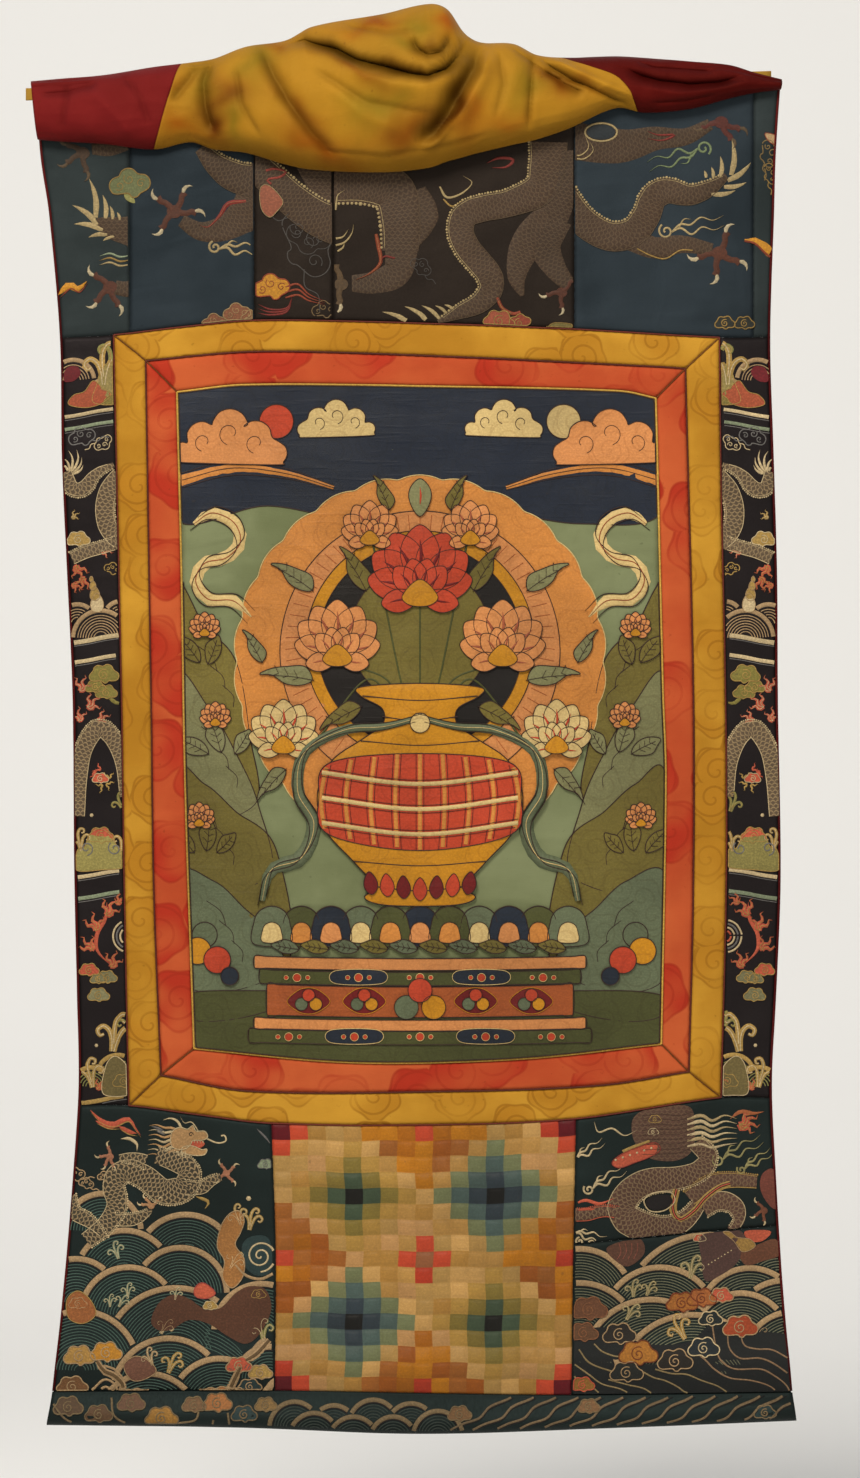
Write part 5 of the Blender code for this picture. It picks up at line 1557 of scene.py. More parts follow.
def appliqueMaterial():  # the dyes, with faint damask lines and soft folds
    material = workMaterial("applique silks", 0.46, 0.08, 0.0006, 0.3, 0.12)
    tree = material.node_tree
    colour = tree.nodes["Principled BSDF"].inputs["Base Color"]
    uv = next(node for node in tree.nodes if node.type == "UVMAP").outputs[0]
    clouds = useGroup(scrollsGroup, uv, Cell=0.05, Turns=30.0, Shift=5.2)
    before = colour.links[0].from_socket
    darker = mixColour(1.0, before, (0.82, 0.78, 0.74), "MULTIPLY")
    feed(colour, mixColour(times(clouds["Line"], 0.6), before, darker))
    stretched = addNode(tree, "ShaderNodeMapping", Vector=uv, Scale=(16, 150, 1)).outputs[0]
    folds = rampOf(noiseOf(stretched, 1.0), 0.5, 0.75, 0.0, 1.0)
    height = next(node for node in tree.nodes if node.type == "BUMP").inputs["Height"]
    feed(height, plus(height.links[0].from_socket, times(folds, 2.4)))
    return material


couched = dye(58, 40, 36)
picture = {
    "sky": dye(30, 38, 52), "sage": dye(126, 124, 84), "olive": dye(112, 100, 46),
    "tan": dye(206, 132, 62), "peach": dye(212, 138, 80),
    "ochre": dye(196, 132, 28), "coral": dye(186, 66, 40), "cream": dye(212, 182, 120), "teal": dye(96, 104, 78),
    "green": dye(76, 78, 42), "navy": dye(34, 42, 54), "night": dye(28, 24, 24), "maroon": dye(106, 24, 26),
    "earth": dye(164, 84, 42),
}


def petal(at, ink, lift, rim=couched, vein=None, width=1.3):
    patch([(0, 0), (0.2, -0.22), (0.3, -0.55), (0.22, -0.82), (0, -1), (-0.22, -0.82), (-0.3, -0.55), (-0.2, -0.22)],
          ink, lift, (width, rim), at, 0.35)
    if vein:
        sliver([(0, -0.3), (0.02, -0.55), (0, -0.78)], at[2] * 0.09, vein, lift + 0.6, at=at)


def leaf(at, ink, lift, bend=0.12):
    patch([(0, 0), (0.22, -0.2), (0.26 + bend, -0.55), (0.14 + bend, -0.85), (bend * 1.2, -1.05), (-0.1, -0.8),
           (-0.2, -0.5), (-0.16, -0.2)], ink, lift, (1.4, couched), at, 0.3)
    cord([(0, 0.04), (bend * 0.3, -0.4), (bend, -0.86)], 1.1, couched, lift + 0.7, at=at)
    for n in range(3):
        d = -0.28 - 0.2 * n
        cord([(bend * 0.3, d), (0.16 + bend * 0.5, d - 0.12)], 0.8, couched, lift + 0.7, at=at, step=2)
        cord([(bend * 0.3, d), (-0.1, d - 0.1)], 0.8, couched, lift + 0.7, at=at, step=2)


def lotus(x, d, size, ink, heart, lift):
    for turn, long in ((-78, 0.9), (78, 0.9), (-52, 1.0), (52, 1.0), (-26, 1.06), (26, 1.06), (0, 1.1)):
        petal((x, d, size * long, turn), ink, lift + 0.1 * (turn == 0), vein=heart)
    for turn in (-100, 100, -40, 40, -12, 12):
        petal((x, d + size * 0.12, size * 0.66, turn), ink, lift + 0.75, vein=heart)
    patch([(-0.3, 0.1), (0, -0.18), (0.3, 0.1), (0.16, 0.26), (-0.16, 0.26)], picture["ochre"], lift + 1.4,
          (1.2, couched), (x, d, size))


def ringOf(x, d, r, ink, lift, rim=(1.5, couched), lobes=0):  # a disc, plain or with a lobed edge
    def reach(a):
        return r + (lobes and 4 * abs(math.sin(a * lobes / 2)))
    turns = np.linspace(0, 2 * math.pi, max(16, lobes * 6), endpoint=False)
    patch([(x + reach(a) * math.cos(a), d + reach(a) * math.sin(a)) for a in turns], ink, lift, rim, None, 0.12, 4.0,
          12.0)


def bank(x, d, size, ink, lift, flip=1):  # a heaped cloud
    ring = [(-1.2, 0.3, 0.3, 90, 250), (-0.7, -0.1, 0.42, 180, 320), (-0.05, -0.36, 0.46, 190, 345),
            (0.65, -0.1, 0.4, 230, 380), (1.15, 0.28, 0.26, 270, 440)]
    patch(lobed(ring), ink, lift, (1.5, couched), (x, d, size, 0, flip), 0.3)
    for cx, cd, r in ((-0.7, 0.05, 0.26), (-0.05, -0.2, 0.3), (0.62, 0.02, 0.24)):
        cord(spiral(0.8, 0.4, 2.6, 14) * r + (cx, cd), 1.1, couched, lift + 0.7, at=(x, d, size, 0, flip))


def workScenery():
    p = picture
    patch([(-272, 336), (0, 326), (270, 340), (272, 470), (180, 486), (60, 470), (-60, 484), (-170, 466), (-272, 480)],
          p["sky"], 0.3, (1.4, couched), None, 0.1, 5, 14)
    for flip in (-1, 1):
        cord([(268 * flip, 438), (210 * flip, 424), (150 * flip, 430), (96 * flip, 446)], 17, p["tan"], 0.6,
             taper=evenly(1, 0.35))
        for shift in (-8, 0, 8):
            cord([(268 * flip, 438 + shift), (210 * flip, 424 + shift), (150 * flip, 430 + shift * 0.7),
                  (96 * flip, 446 + shift * 0.3)], 1.2, couched, 1.0)
        bank(214 * flip, 394, 44, p["peach"], 1.5, flip)
        bank(92 * flip, 372, 30, p["cream"], 0.8, -flip)
        # small discs and scarf ends
        ringOf(160 * flip, 372, 19, p["coral"] if flip < 0 else p["cream"], 0.8)
        for shift, wide, ink in ((0, 15, p["cream"]), (0, 1.6, dye(150, 76, 44)), (-7, 1.3, couched),
                                 (7, 1.3, couched)):
            line = [(252 * flip, 486), (232 * flip, 474), (208 * flip, 484), (200 * flip, 506), (216 * flip, 524),
                    (240 * flip, 530), (250 * flip, 550), (236 * flip, 570), (208 * flip, 572), (188 * flip, 590)]
            cord([(x + shift * 0.6 * flip, d + shift) for x, d in line], wide, ink, 1.3 if wide > 5 else 1.8,
                 taper=([0, 0.08, 0.88, 1], [0.35, 1, 1, 0.15]))
        hills = (
            ([(275, 560), (240, 600), (205, 640), (190, 720), (185, 800), (275, 800)], "olive", 0.55),
            ([(275, 660), (236, 690), (206, 740), (180, 800), (170, 880), (275, 880)], "sage", 0.95),
            ([(275, 770), (240, 776), (206, 806), (160, 850), (150, 980), (275, 990)], "olive", 1.35),
            ([(275, 880), (230, 884), (196, 914), (160, 950), (150, 1020), (275, 1030)], "teal", 1.7),
        )
        for points, ink, lift in hills:
            patch([(x * flip, d) for x, d in points], p[ink], lift, (1.5, couched), None, 0.15, 5, 12)
            for n in range(3):
                start = points[1]
                cord([((start[0] + 8 - n * 14) * flip, start[1] + 22 + n * 22),
                      ((start[0] - 8 - n * 12) * flip, start[1] + 34 + n * 22),
                      ((start[0] - 14 - n * 9) * flip, start[1] + 50 + n * 20)], 1.1, couched, lift + 0.45)
        for x, d, size, turn in ((246, 640, 34, 30), (236, 642, 32, -28), (222, 740, 36, 10), (236, 742, 34, 55),
                                 (206, 742, 30, -40), (238, 850, 34, -14), (252, 852, 32, 34), (226, 852, 28, -52)):
            leaf((x * flip, d, size, turn * flip, flip), p["olive"] if d < 700 or d > 800 else p["sage"], 2.0)
        for x, d in ((240, 606), (228, 706), (246, 818)):
            lotus(x * flip, d, 20, p["peach"], dye(160, 90, 60), 2.3)
        for n, (x, d, r, ink) in enumerate(((240, 944, 14, "teal"), (248, 962, 15, "ochre"), (226, 972, 15, "coral"),
                                            (212, 990, 10, "navy"))):
            ringOf(x * flip, d, r, p[ink], 2.2 + 0.6 * n)
    patch([(-280, 1016), (-160, 1006), (0, 1012), (160, 1006), (280, 1016), (280, 1085), (0, 1095), (-280, 1085)],
          p["green"], 2.0, (1.5, couched), None, 0.15, 5, 12)


def workVase():
    p = picture
    ringOf(0, 640, 204, p["tan"], 0.95, (1.6, p["cream"]), 26)
    ringOf(0, 628, 156, p["peach"], 1.3)
    for n in range(72):
        a = n * math.pi / 36
        cord([(150 * math.cos(a), 626 + 150 * math.sin(a)), (132 * math.cos(a), 624 + 132 * math.sin(a))], 1.0,
             p["earth"], 1.8, step=4)
    ringOf(0, 622, 128, p["ochre"], 1.65)
    ringOf(0, 622, 114, p["night"], 2.0)
    ringOf(0, 610, 78, p["olive"], 2.35)
    stems = ((0, 540), (-92, 600), (92, 600), (-150, 700), (150, 700), (-54, 500), (54, 500))
    for x, d in stems:
        cord([(x * 0.16, 700), (x * 0.4, 660), (x * 0.85, d + 40), (x, d)], 3.4, p["green"], 2.8)
    for x, d, size, turn in ((-120, 560, 52, -50), (120, 560, 52, 50), (-60, 560, 54, -24), (60, 560, 54, 24),
                             (-120, 660, 56, -76), (120, 660, 56, 76), (-66, 690, 50, -112), (66, 690, 50, 112),
                             (-34, 470, 40, -18), (34, 470, 40, 18), (-176, 640, 40, -24), (176, 640, 40, 24),
                             (-150, 760, 44, -130), (150, 760, 44, 130)):
        leaf((x, d, size, turn, 1 if x < 0 else -1), p["sage"] if abs(x) > 100 else p["olive"], 2.9, -0.12)
    lotus(0, 560, 66, p["coral"], p["maroon"], 3.7)
    for flip in (-1, 1):
        lotus(92 * flip, 630, 54, p["peach"], dye(160, 84, 56), 3.5)
        lotus(152 * flip, 730, 44, p["cream"], p["coral"], 3.5)
        lotus(56 * flip, 500, 36, p["peach"], dye(160, 84, 56), 3.3)
    petal((0, 478, 42, 0), p["sage"], 3.2, vein=p["coral"])
    # the vase, its checked belly and its scarf
    half = [(0, 912), (44, 910), (62, 902), (50, 890), (74, 862), (106, 826), (114, 786), (98, 750), (64, 726),
            (42, 710), (42, 692), (66, 678), (66, 668), (0, 664)]
    outline = flow([*half, *[(-x, d) for x, d in half[-2:0:-1]]], 3, True)
    patch(outline, p["ochre"], 3.3, (1.7, couched), None, 1.4, 3, 8, False)
    belly = flow([(-103, 832), (-114, 790), (-101, 752), (0, 742), (101, 752), (114, 790), (103, 832), (0, 850)], 3,
                 True)
    belly = np.column_stack([belly[:, 0] * 0.985, belly[:, 1]])
    patch(belly, p["coral"], 4.8, (1.6, couched), None, 0.3, 3, 8, False)

    def off(line):
        return ~inside(belly * (0.985, 1), line)
    for n in range(-4, 5):
        line = flow([(n * 25, 740), (n * 27.5, 795), (n * 25, 852)], 3)
        ribbon(line, 8, p["tan"], 5.35, hide=off)
        for shift in (-4.3, 4.3):
            ribbon(line + (shift, 0), 1.0, couched, 5.6, hide=off)
    for d in (768, 796, 824):
        line = flow([(-118, d - 6), (0, d + 8), (118, d - 6)], 3)
        ribbon(line, 8, p["cream"], 5.65, hide=off)
        for shift in (-4.3, 4.3):
            ribbon(line + (0, shift), 1.0, couched, 5.9, hide=off)
    for d, w in ((728, 66), (862, 74), (890, 50), (701, 42), (678, 64)):
        cord([(-w, d), (0, d + 5), (w, d)], 2.0, couched, 4.9)
    for n in range(-3, 4):
        petal((n * 19, 880 - abs(n) * 2.2, 26, 180 + n * 3), p["maroon"] if n % 2 else p["coral"], 5.1)
    for flip in (-1, 1):
        scarf = [(0, 702), (40 * flip, 712), (84 * flip, 716), (128 * flip, 740), (136 * flip, 784), (118 * flip, 820),
                 (132 * flip, 858), (166 * flip, 872), (176 * flip, 906)]
        for shift, wide, ink in ((0, 15, p["teal"]), (-7, 1.3, couched), (7, 1.3, couched), (0, 1.2, p["cream"])):
            cord([(x + shift * 0.7 * flip, d + shift * 0.7) for x, d in scarf], wide, ink, 5.2 if wide > 5 else 5.8,
                 taper=([0, 0.5, 0.85, 1], [0.7, 1, 1.2, 0.5]))
    ringOf(0, 708, 11, p["cream"], 5.6)


def workPlinth():
    p = picture
    for n in range(-5, 6):
        ink, heart = (("navy", "peach"), ("green", "tan"), ("teal", "cream"))[abs(n) % 3]
        arch = [(-0.5, 0.5), (-0.5, -0.1), (-0.34, -0.42), (0, -0.55), (0.34, -0.42), (0.5, -0.1), (0.5, 0.5)]
        at = (n * 33, 934, 40)
        patch(arch, p[ink], 3.0 + 0.3 * (n % 2), (1.5, couched), at, 0.3)
        patch([(x * 0.52, d * 0.52 + 0.18) for x, d in arch], p[heart], 3.6 + 0.3 * (n % 2), (1.2, couched), at, 0.3)
    for n in range(-5, 5):
        leaf((n * 33 + 30, 960, 30, -84), p["teal"] if n % 2 else p["olive"], 4.2, 0.05)
    tiers = ((974, 184, 13, "peach"), (990, 178, 15, "green"), (1016, 170, 34, "earth"), (1042, 184, 12, "peach"),
             (1056, 190, 15, "green"))
    for d, w, tall, ink in tiers:
        lift = 3.0 if tall != 34 else 2.8
        across = np.linspace(-w, w, 30)
        edge = [(x, d + 3 * (1 - (x / w) ** 2)) for x in across]
        slab = [(x, y - tall / 2) for x, y in edge] + [(x, y + tall / 2) for x, y in reversed(edge)]
        patch(slab, p[ink], lift, (1.5, couched), None, 0.2, 4, 9, False)
        if ink == "green":
            for n in range(-2, 3):
                x = n * w / 2.6
                if n % 2:
                    patch([(x - 26, d - 6), (x + 26, d - 6), (x + 26, d + 8), (x - 26, d + 8)], p["navy"], lift + 0.5,
                          (1.2, p["cream"]))
                for k in (-1, 0, 1):
                    ringOf(x + k * 12, d + 1.5, 4.6 if k == 0 else 2.6, p["coral"], lift + 1.0, (1.0, p["cream"]))
    for n in range(-2, 3):
        x = n * 62
        if n:
            patch([(x - 24, 1018), (x - 12, 1006), (x, 1003), (x + 12, 1006), (x + 24, 1018), (x + 12, 1029), (x, 1032),
                   (x - 12, 1029)], p["maroon"], 3.3, (1.2, p["ochre"]), None, 0.2)
        for k, (dx, dd, ink) in enumerate(((-8, 4, "teal"), (8, 4, "ochre"), (0, -6, "coral"))):
            scale = 1 if n else 1.9
            ringOf(x + dx * scale, 1017 + dd * scale, 7 * scale, p[ink], 3.9 + 0.3 * k, (1.1, couched))


def workPicture():
    applique = appliqueMaterial()
    inner = rings["picture"]
    for name, steps in (("picture_scenery", (workScenery,)), ("picture_vase", (workVase, workPlinth))):
        startWork(inner["left"], inner["right"], inner["top"], inner["bottom"])
        for step in steps:
            step()
        finishWork(name, applique)


workPicture()


# cords along the borders

def workBorderCords():
    startWork()
    for ring, width, ink, lift in (("picture", 2.2, dye(206, 160, 70), 1.1), ("borders", 1.8, dye(96, 40, 30), 0.6),
                                   ("mount", 1.6, dye(110, 46, 34), 0.6)):
        for side in sideNames:
            x, d = alongRing(ring, side, np.linspace(0, 1, 40))
            cord(list(zip(x, d)), width, ink, lift, step=4)
    for corner in (("left", "top"), ("right", "top"), ("left", "bottom"), ("right", "bottom")):
        spots = [ringCorner(ring, *corner) for ring in ("mount", "borders", "picture")]
        cord(spots, 1.0, dye(120, 70, 30), 0.3, step=4)
    finishWork("border_cords", brocade)


workBorderCords()


# the dust veil

veilShape = [  # across, top and bottom heights above the top edge, how deep
    (-436, 7, -56, 11), (-402, 10, -59, 16), (-352, 14, -62, 21), (-296, 23, -68, 22), (-255, 28, -60, 20),
    (-230, 32, -68, 26), (-194, 45, -72, 34), (-150, 52, -85, 42), (-120, 67, -91, 47), (-41, 81, -94, 53),
    (10, 92, -89, 54), (30, 86, -82, 52), (48, 61, -77, 48), (66, 50, -72, 44), (104, 48, -63, 38),
    (130, 36, -57, 32), (165, 33, -45, 26), (218, 35, -22, 20), (250, 33, -27, 20), (300, 28, -23, 19),
    (345, 24, -11, 16), (372, 16, -5, 12), (404, 8, -1, 9),
]
veilBack = [
    (-436, -7.2, -9), (-260, -7.2, -6), (0, -7.2, -1), (180, -7.2, 3), (222, -8.5, 24), (262, -4, 24),
    (296, 4.2, 23), (350, 4.4, 9), (404, 4.4, 4),
]
veilPieces = {  # section share, across
    "leftEnd": [(0.0, -424), (0.25, -426), (0.75, -434), (1.0, -434)],
    "leftSeam": [(0.0, -292), (0.25, -296), (0.75, -266), (1.0, -262)],
    "rightSeam": [(0.0, 240), (0.25, 242), (0.5, 222), (0.75, 158), (1.0, 150)],
    "rightEnd": [(0.0, 400), (0.5, 403), (1.0, 402)],
}
# each fold: how proud, width above, width below, lip hanging over it, line of (across, height)
veilFolds = [
    (-17, 6, 10, 11, [(-150, 46), (-128, 54), (-92, 44), (-71, 31), (-38, 23), (-11, 15), (9, 12), (28, 20), (42, 35),
                      (52, 52)]),
    (9, 10, 12, 0, [(-96, 34), (-60, 8), (-30, -1), (6, -3), (42, 8), (60, 30), (67, 46)]),
    (-18, 8, 14, 10, [(69, 45), (60, 20), (48, -3), (32, -32), (16, -52), (-6, -68)]),
    (8, 9, 9, 0, [(78, 40), (70, 8), (52, -26), (36, -52)]),
    (-11, 15, 8, 4, [(-177, 45), (-163, 12), (-146, -18), (-121, -52), (-88, -84)]),
    (-10, 7, 9, 5, [(-232, 30), (-240, 6), (-238, -20), (-228, -54)]),
    (-7, 5, 7, 4, [(-246, 26), (-256, 8), (-276, -18)]),
    (-6, 2.6, 4.5, 2, [(126, 36), (123, -9), (121, -50)]),
    (6, 4, 4, 0, [(146, 31), (176, 15), (208, 0), (242, -13)]),
    (-8, 3, 4, 2, [(133, 31), (166, 11), (200, -6), (233, -20)]),
    (-9, 5, 8, 4, [(138, 20), (160, 4), (184, -8)]),
    (-12, 5, 10, 7, [(227, 20), (266, 9), (300, 5), (333, 7), (361, 13)]),
    (-5, 6, 9, 2, [(-430, 8), (-396, 4), (-360, 12)]),
    (-5, 4, 6, 3, [(-425, -8), (-391, -5), (-358, 4)]),
    (-10, 5, 7, 6, [(-9, 54), (-3, 41), (9, 34), (24, 38), (35, 56)]),
    (-4, 5, 6, 2, [(-120, 18), (-60, -20), (-10, -30), (18, -32)]),
    (3, 8, 8, 0, [(-110, 6), (-62, -38), (-20, -54)]),
    (-4, 4, 5, 2, [(-205, 22), (-198, -20), (-176, -58)]),
    (-3, 3, 5, 2, [(-120, -70), (-40, -78), (30, -66), (80, -52)]),
    (-4, 4, 5, 2, [(88, 38), (94, 0), (84, -38)]),
    (-3.5, 3, 5, 2, [(-84, 68), (-34, 58), (-4, 62)]),
    (-3.5, 3, 4, 1.5, [(100, 44), (140, 16), (186, 2)]),
    (-4, 3, 4, 2, [(-392, 6), (-394, -22), (-398, -50)]),
    (2.5, 6, 7, 0, [(-370, -2), (-340, -30), (-320, -58)]),
    (-3, 4, 4, 1.5, [(-330, 14), (-310, -14), (-300, -44)]),
    (-4, 3, 4, 3, [(238, 30), (262, 22), (296, 20), (330, 17)]),
    (3.5, 5, 5, 0, [(246, -2), (290, -9), (330, -4), (364, 4)]),
    (-3.5, 3, 4, 1.5, [(256, -18), (296, -15), (330, -8)]),
]
veilSheet = {"clear": 2.8, "hemForward": 5.6, "cell": 2.5, "rows": 118, "thickness": 1.2}
# colours of the marks: "green" and "rust" are runs of old dye, "dark" is painted shade, "brown" is partly stain and
# partly painted shade
veilSoilAndShadeColours = {"brown": dye(126, 62, 18), "dark": dye(84, 42, 12), "green": dye(112, 102, 28), "rust": dye(156, 78, 18)}
# where the old dyes have run, and painted shade: the "dark" marks are painted shade in the folds' hollows, and several
# "brown" ones are stain and painted shade together; across, height, reach along and across it, turn in degrees,
# strength
veilDyeRunsAndShade = [
    (-52, 66, 34, 9, 8, 0.65, "rust"), (2, 66, 20, 13, 0, 0.5, "green"), (-25, 45, 15, 8, 0, 0.4, "green"),
    (32, 70, 10, 15, 0, 0.7, "rust"),
    (9, 41, 15, 9, 0, 0.5, "dark"), (-85, 28, 15, 8, -20, 0.5, "green"), (-185, 26, 18, 20, 0, 0.5, "green"),
    (-218, -8, 26, 15, 30, 0.55, "brown"), (-229, -45, 13, 17, 0, 0.75, "brown"), (-204, -42, 7, 22, 0, 0.45, "green"),
    (-270, -44, 20, 14, 0, 0.6, "rust"), (-242, 2, 12, 17, 0, 0.4, "green"), (-136, -34, 36, 12, -52, 0.5, "brown"),
    (-102, -72, 30, 14, -25, 0.65, "rust"), (-76, 17, 40, 7, -30, 0.55, "brown"), (-38, -26, 28, 15, 0, 0.45, "green"),
    (-66, -38, 18, 26, 0, 0.3, "green"), (-10, -50, 34, 15, 28, 0.55, "brown"), (33, -34, 34, 12, 58, 0.75, "dark"),
    (56, -36, 12, 22, -20, 0.5, "rust"), (115, -2, 15, 26, 0, 0.4, "green"), (149, 8, 24, 11, -32, 0.65, "brown"),
    (184, 0, 26, 7, -26, 0.4, "brown"), (92, -44, 28, 10, 20, 0.4, "rust"), (-160, 46, 14, 8, 30, 0.45, "brown"),
    (-6, 12, 42, 5, 4, 0.45, "dark"), (-214, -14, 20, 14, 20, 0.5, "dark"), (-226, -42, 11, 14, 0, 0.55, "dark"),
    (-86, 36, 26, 7, -28, 0.5, "dark"), (-30, 18, 38, 7, -12, 0.5, "dark"), (40, -20, 26, 8, 62, 0.6, "dark"),
    (-28, -57, 26, 14, 10, 0.45, "brown"), (-278, 0, 16, 12, 40, 0.35, "brown"), (-128, -66, 30, 12, -30, 0.4, "brown"),
]


def veilColumn(rows, n):
    return [(row[0], row[n]) for row in rows]


def foldFade(share):  # a fold dies out at both its ends
    return smooth(-0.05, 0.18, share) * (1 - smooth(0.82, 1.05, share))


def veilLine(line, x, z):  # signed distance to a fold's line, and how far along it
    spans = [(a, b, math.dist(a, b)) for a, b in zip(line, line[1:])]
    length = sum(long for _, _, long in spans)
    best, share, total = np.full_like(x, 1e9), np.zeros_like(x), 0.0
    for (ax, az), (bx, bz), long in spans:
        dx, dz = bx - ax, bz - az
        part = np.clip(((x - ax) * dx + (z - az) * dz) / long ** 2, 0, 1)
        gap = np.hypot(x - ax - dx * part, z - az - dz * part)
        side = np.where(dx * (z - az) - dz * (x - ax) < 0, -1.0, 1.0)
        nearer = gap < np.abs(best)
        best = np.where(nearer, gap * side, best)
        share = np.where(nearer, (total + part * long) / length, share)
        total += long
    return best, share


def veilPlace(x, t):  # a spot of the veil: t runs round its section from the tucked hem to the back
    top, bottom, depth = (curveAt(veilColumn(veilShape, n), x) for n in (1, 2, 3))
    back, backEnd = (curveAt(veilColumn(veilBack, n), x) for n in (1, 2))
    tall, hem = top - bottom, veilSheet["hemForward"]
    outs = [
        np.full_like(x, hem), np.full_like(x, veilSheet["clear"] + 1.6), hem + 0.16 * depth, 0.8 * depth + 3, depth + 3,
        0.86 * depth + 3, 0.5 * depth + 2, back + (depth - back) * 0.18, back - 1.2, back,
    ]
    ups = [
        bottom + 0.34 * tall, bottom + 0.12 * tall, bottom, bottom + 0.13 * tall, bottom + 0.38 * tall,
        bottom + 0.66 * tall, bottom + 0.9 * tall, top, top + (backEnd - top) * 0.3, backEnd,
    ]
    at = t * 9
    i = np.clip(np.ceil(at).astype(int) - 1, 0, 8)
    s = at - i

    def along(values):
        values = np.array(values)
        turn = np.concatenate([values[1:2] - values[:1], (values[2:] - values[:-2]) / 2, values[-1:] - values[-2:-1]])
        pick = np.arange(len(x))
        a, b, ta, tb = values[i, pick], values[i + 1, pick], turn[i, pick], turn[i + 1, pick]
        return a + (b - a) * s * s * (3 - 2 * s) + s * (1 - s) * (ta * (1 - s) - tb * s)

    out, height = along(outs), along(ups)
    face = smooth(1.9, 3.2, at) * (1 - smooth(6.2, 7.2, at))
    strong = face * np.minimum(1, depth / 24)
    lift, drop = np.zeros_like(x), np.zeros_like(x)
    for proud, above, below, lip, line in veilFolds:
        gap, share = veilLine(line, x, height)
        fade = foldFade(share)
        width = np.where(gap > 0, above, below)
        lift += proud * fade * np.exp(-((np.abs(gap) / width) ** 1.5))
        over = fade * np.exp(-(((gap - above * 0.75) / (above * 0.7)) ** 2))
        lift += 0.45 * lip * over
        drop += 0.55 * lip * over
    silky = 0.5 * np.sin(x / 9.5 + height / 14 + 2 * np.sin(height / 31)) * np.sin(height / 23 + x / 57)
    silky = silky + 0.35 * np.sin(x / 5.1 - height / 12 + 1.5 * np.sin(x / 40))
    out = np.maximum(out + (lift + silky) * strong, -100 + (hem + 3.2 + 100) * face)
    return np.stack([x, -out, height - drop * strong], -1) * mm


def veilMaterial(name, roughness, light):
    material, shader, uv, age, threads = startSilk(name, roughness, 0.1, light, 0.0005, 0.14, 14.0)
    dyes = addNode(uv.id_data, "ShaderNodeAttribute", attribute_name="dye").outputs["Color"]
    colour = mixColour(times(age["Stain"], 0.4), shaded(dyes, times(age["Tone"], threads["Shade"])), dye(84, 44, 20))
    finishSilk(shader, colour, roughness - 0.05, 0.16, age, uv, threads["Height"], 0.3, 0.3)
    return material


def layVeil():
    yellow = veilMaterial("veil's yellow silk", 0.42, dye(235, 190, 90))
    red = veilMaterial("veil's red silk", 0.5, dye(220, 90, 70))
    plan = [
        ("veil_red_left", "veil_end_left", "leftEnd", "leftSeam", red, "veil_red", dye(110, 32, 33)),
        ("veil_yellow", "veil_middle", "leftSeam", "rightSeam", yellow, "veil_yellow", dye(172, 122, 38)),
        # the right red end is the same silk as the left one, with its base dyed darker as painted shade
        ("veil_red_right", "veil_end_right", "rightSeam", "rightEnd", red, "veil_red", dye(78, 21, 20)),
    ]
    for name, node, left, right, material, slotName, base in plan:
        wide = veilPieces[right][1][1] - veilPieces[left][1][1]

        def placeOf(s, t):
            l, r = curveAt(veilPieces[left], t), curveAt(veilPieces[right], t)
            x = l + (r - l) * (s * (1 + 0.3 / wide) - 0.15 / wide)
            return veilPlace(x, t), np.stack([x * mm, -t * 0.3], -1)

        veil = gridCloth(name, math.ceil(wide / veilSheet["cell"]), veilSheet["rows"], placeOf, [material],
                         veilSheet["thickness"])
        mesh = veil.data
        place = np.empty(len(mesh.vertices) * 3)
        mesh.vertices.foreach_get("co", place)
        x, z = place[0::3] / mm, place[2::3] / mm
        tint = np.ones((len(mesh.vertices), 4))
        tint[:, :3] = base
        if node == "veil_middle":
            bentX = x + 5 * np.sin(z / 9 + x / 31) + 3 * np.sin(z / 5 - x / 17)
            bentZ = z + 4 * np.sin(x / 11 + z / 23) + 2.5 * np.sin(x / 6 - z / 13)
            # runs of old dye, together with painted shade laid in the folds' hollows
            for across, height, long, wideness, turn, strength, kind in veilDyeRunsAndShade:
                c, s = math.cos(math.radians(turn)), math.sin(math.radians(turn))
                u = ((bentX - across) * c + (bentZ - height) * s) / long
                v = ((bentZ - height) * c - (bentX - across) * s) / wideness
                share = min(0.95, strength * 1.3) * np.exp(-((u * u + v * v) ** 0.8))
                tint[:, :3] += (np.array(veilSoilAndShadeColours[kind]) - tint[:, :3]) * share[:, None]
        for proud, above, below, lip, line in veilFolds:  # painted shade in the folds' hollows, pushed below the lip that hangs over them, and painted highlight on their crests
            gap, share = veilLine(line, x, z)
            # deep: how much painted shade a hollow gets, or, when negative, how much painted highlight a crest gets
            deep = min(0.66, abs(proud) * 0.044) * (1 if proud < 0 else -0.3)
            away = gap + 0.35 * lip
            reach = below if proud < 0 else above
            tint[:, :3] *= (1 - deep * foldFade(share) * np.exp(-((away / reach) ** 2) * 1.2))[:, None]
        # painted shade: darker towards the veil's lower edge, where its cloth turns under
        hemGap = z - curveAt(veilColumn(veilShape, 2), x)
        tint[:, :3] *= (1 - 0.3 * (1 - smooth(2, 26, hemGap)))[:, None]
        meshDyes(mesh, tint, "POINT")
        putOn(veil, [node])
        long = sum(face.area for face in mesh.polygons) / 2 / (wide * mm)
    print("veil gathered")


veilStitch = {  # each row's seam and how far beside it, then shares round the veil's section
    "rows": (("leftSeam", -3.2), ("rightSeam", 3.2), ("rightSeam", -2.6)), "count": 40, "first": 0.22, "pitch": 0.014,
    "long": 0.008, "wide": 0.9, "proud": 0.9,
}


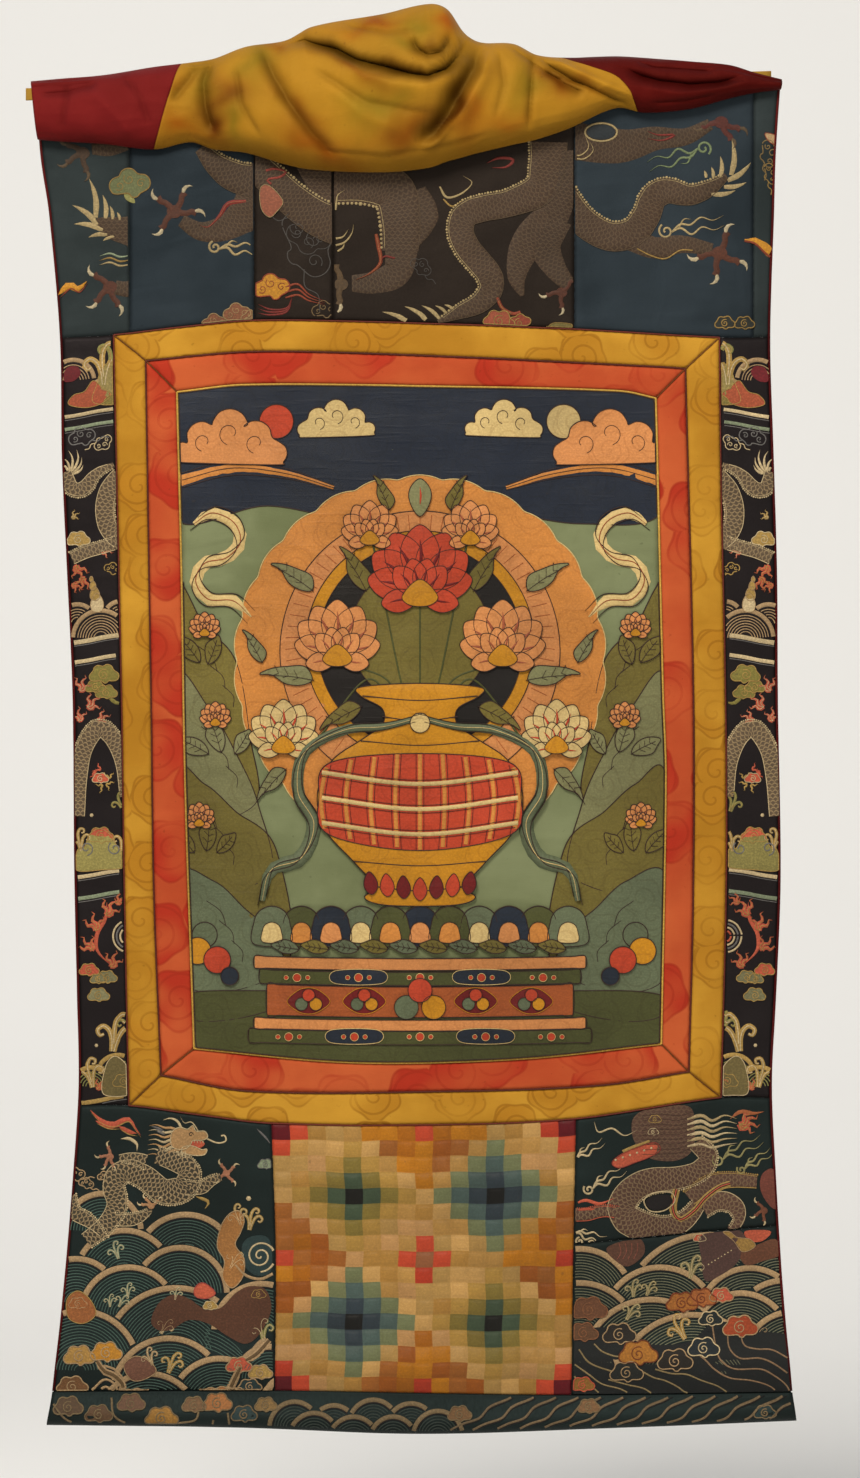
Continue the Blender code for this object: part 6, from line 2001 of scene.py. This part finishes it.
def sewVeil():  # the running stitches beside its two seams
    spots, faces = [], []
    for seam, away in veilStitch["rows"]:
        for n in range(veilStitch["count"]):
            start = veilStitch["first"] + n * veilStitch["pitch"]
            ends = np.array([start, start + veilStitch["long"]])
            x = curveAt(veilPieces[seam], ends) + away
            line = veilPlace(x, ends) / mm
            way = (line[1] - line[0]) / max(1e-6, np.linalg.norm(line[1] - line[0]))
            side = np.cross(way, (0, 1, 0)) * veilStitch["wide"] / 2
            middle = line.mean(0) + (0, -veilStitch["proud"], 0)
            n = len(spots)
            spots += [line[0] - side, line[0] + side, line[1] + side, line[1] - side, middle]
            faces += [(n + a, n + b, n + 4) for a, b in ((0, 3), (3, 2), (2, 1), (1, 0))]
    mesh = bpy.data.meshes.new("veil_stitches")
    mesh.from_pydata([tuple(np.array(spot) * mm) for spot in spots], [], faces)
    stitches = addObject("veil_stitches", mesh)
    mesh.materials.append(cloths["yellow"])
    meshUv(mesh, np.array([(spot[0], spot[2]) for spot in spots]) * mm)
    putOn(stitches)
    print("veil stitched")


layVeil()
sewVeil()


# camera, floor and light

studio = {
    "camera": (0.01115, -6.0, -0.7259), "lens": 131.0, "front": 9.0, "floor": -1.78, "back": 3.2, "bend": 1.2,
    "key": 235.0, "fill": 36.0, "world": 0.52,
}


def setStudio():
    camera = addObject("camera", bpy.data.cameras.new("camera"))
    camera.location = studio["camera"]
    camera.rotation_euler = (math.pi / 2, 0, 0)
    camera.data.lens, camera.data.sensor_width, camera.data.sensor_fit = studio["lens"], 36.0, "AUTO"
    bpy.context.scene.camera = camera

    bpy.ops.object.select_all(action="DESELECT")
    bpy.ops.mesh.primitive_grid_add(x_subdivisions=1, y_subdivisions=40, size=1)
    sweep = bpy.context.object
    sweep.name = "studio_floor"
    for vertex in sweep.data.vertices:
        run = (vertex.co.y + 0.5) * 16
        flat, radius = studio["front"] + studio["back"], studio["bend"]
        turn = min(max((run - flat) / radius, 0), math.pi / 2)
        y = -studio["front"] + min(run, flat) + radius * math.sin(turn)
        z = studio["floor"] + radius * (1 - math.cos(turn)) + max(0, run - flat - radius * math.pi / 2)
        vertex.co = (vertex.co.x * 20, y, z)
    bpy.ops.object.shade_smooth()
    paint = bpy.data.materials.new("pale floor")
    paint.use_nodes = True
    tree = paint.node_tree
    shader = tree.nodes["Principled BSDF"]
    shader.inputs["Base Color"].default_value = (0.86, 0.855, 0.84, 1)
    shader.inputs["Roughness"].default_value = 0.9
    shown = addNode(tree, "ShaderNodeMixShader")  # clear from behind, so that the hanging's back can be looked at
    tree.links.new(addNode(tree, "ShaderNodeNewGeometry").outputs["Backfacing"], shown.inputs[0])
    tree.links.new(shader.outputs[0], shown.inputs[1])
    tree.links.new(addNode(tree, "ShaderNodeBsdfTransparent").outputs[0], shown.inputs[2])
    tree.links.new(shown.outputs[0], tree.nodes["Material Output"].inputs["Surface"])
    sweep.data.materials.append(paint)

    for name, place, turn, size, power in (
        ("soft key", (-1.0, -2.9, 2.3), (math.radians(46), 0, math.radians(-18)), 1.3, studio["key"]),
        ("soft fill", (2.2, -3.4, -0.2), (math.radians(82), 0, math.radians(33)), 2.2, studio["fill"]),
    ):
        lamp = bpy.data.lights.new(name, "AREA")
        lamp.size, lamp.energy, lamp.color = size, power, (1.0, 0.955, 0.89)
        light = addObject(name, lamp)
        light.location, light.rotation_euler = place, turn

    world = bpy.data.worlds.new("pale room")
    bpy.context.scene.world = world
    world.use_nodes = True
    world.node_tree.nodes["Background"].inputs["Color"].default_value = (1.0, 0.99, 0.97, 1)
    world.node_tree.nodes["Background"].inputs["Strength"].default_value = studio["world"]
    bpy.context.scene.view_settings.view_transform = "Standard"


setStudio()
print("studio set")
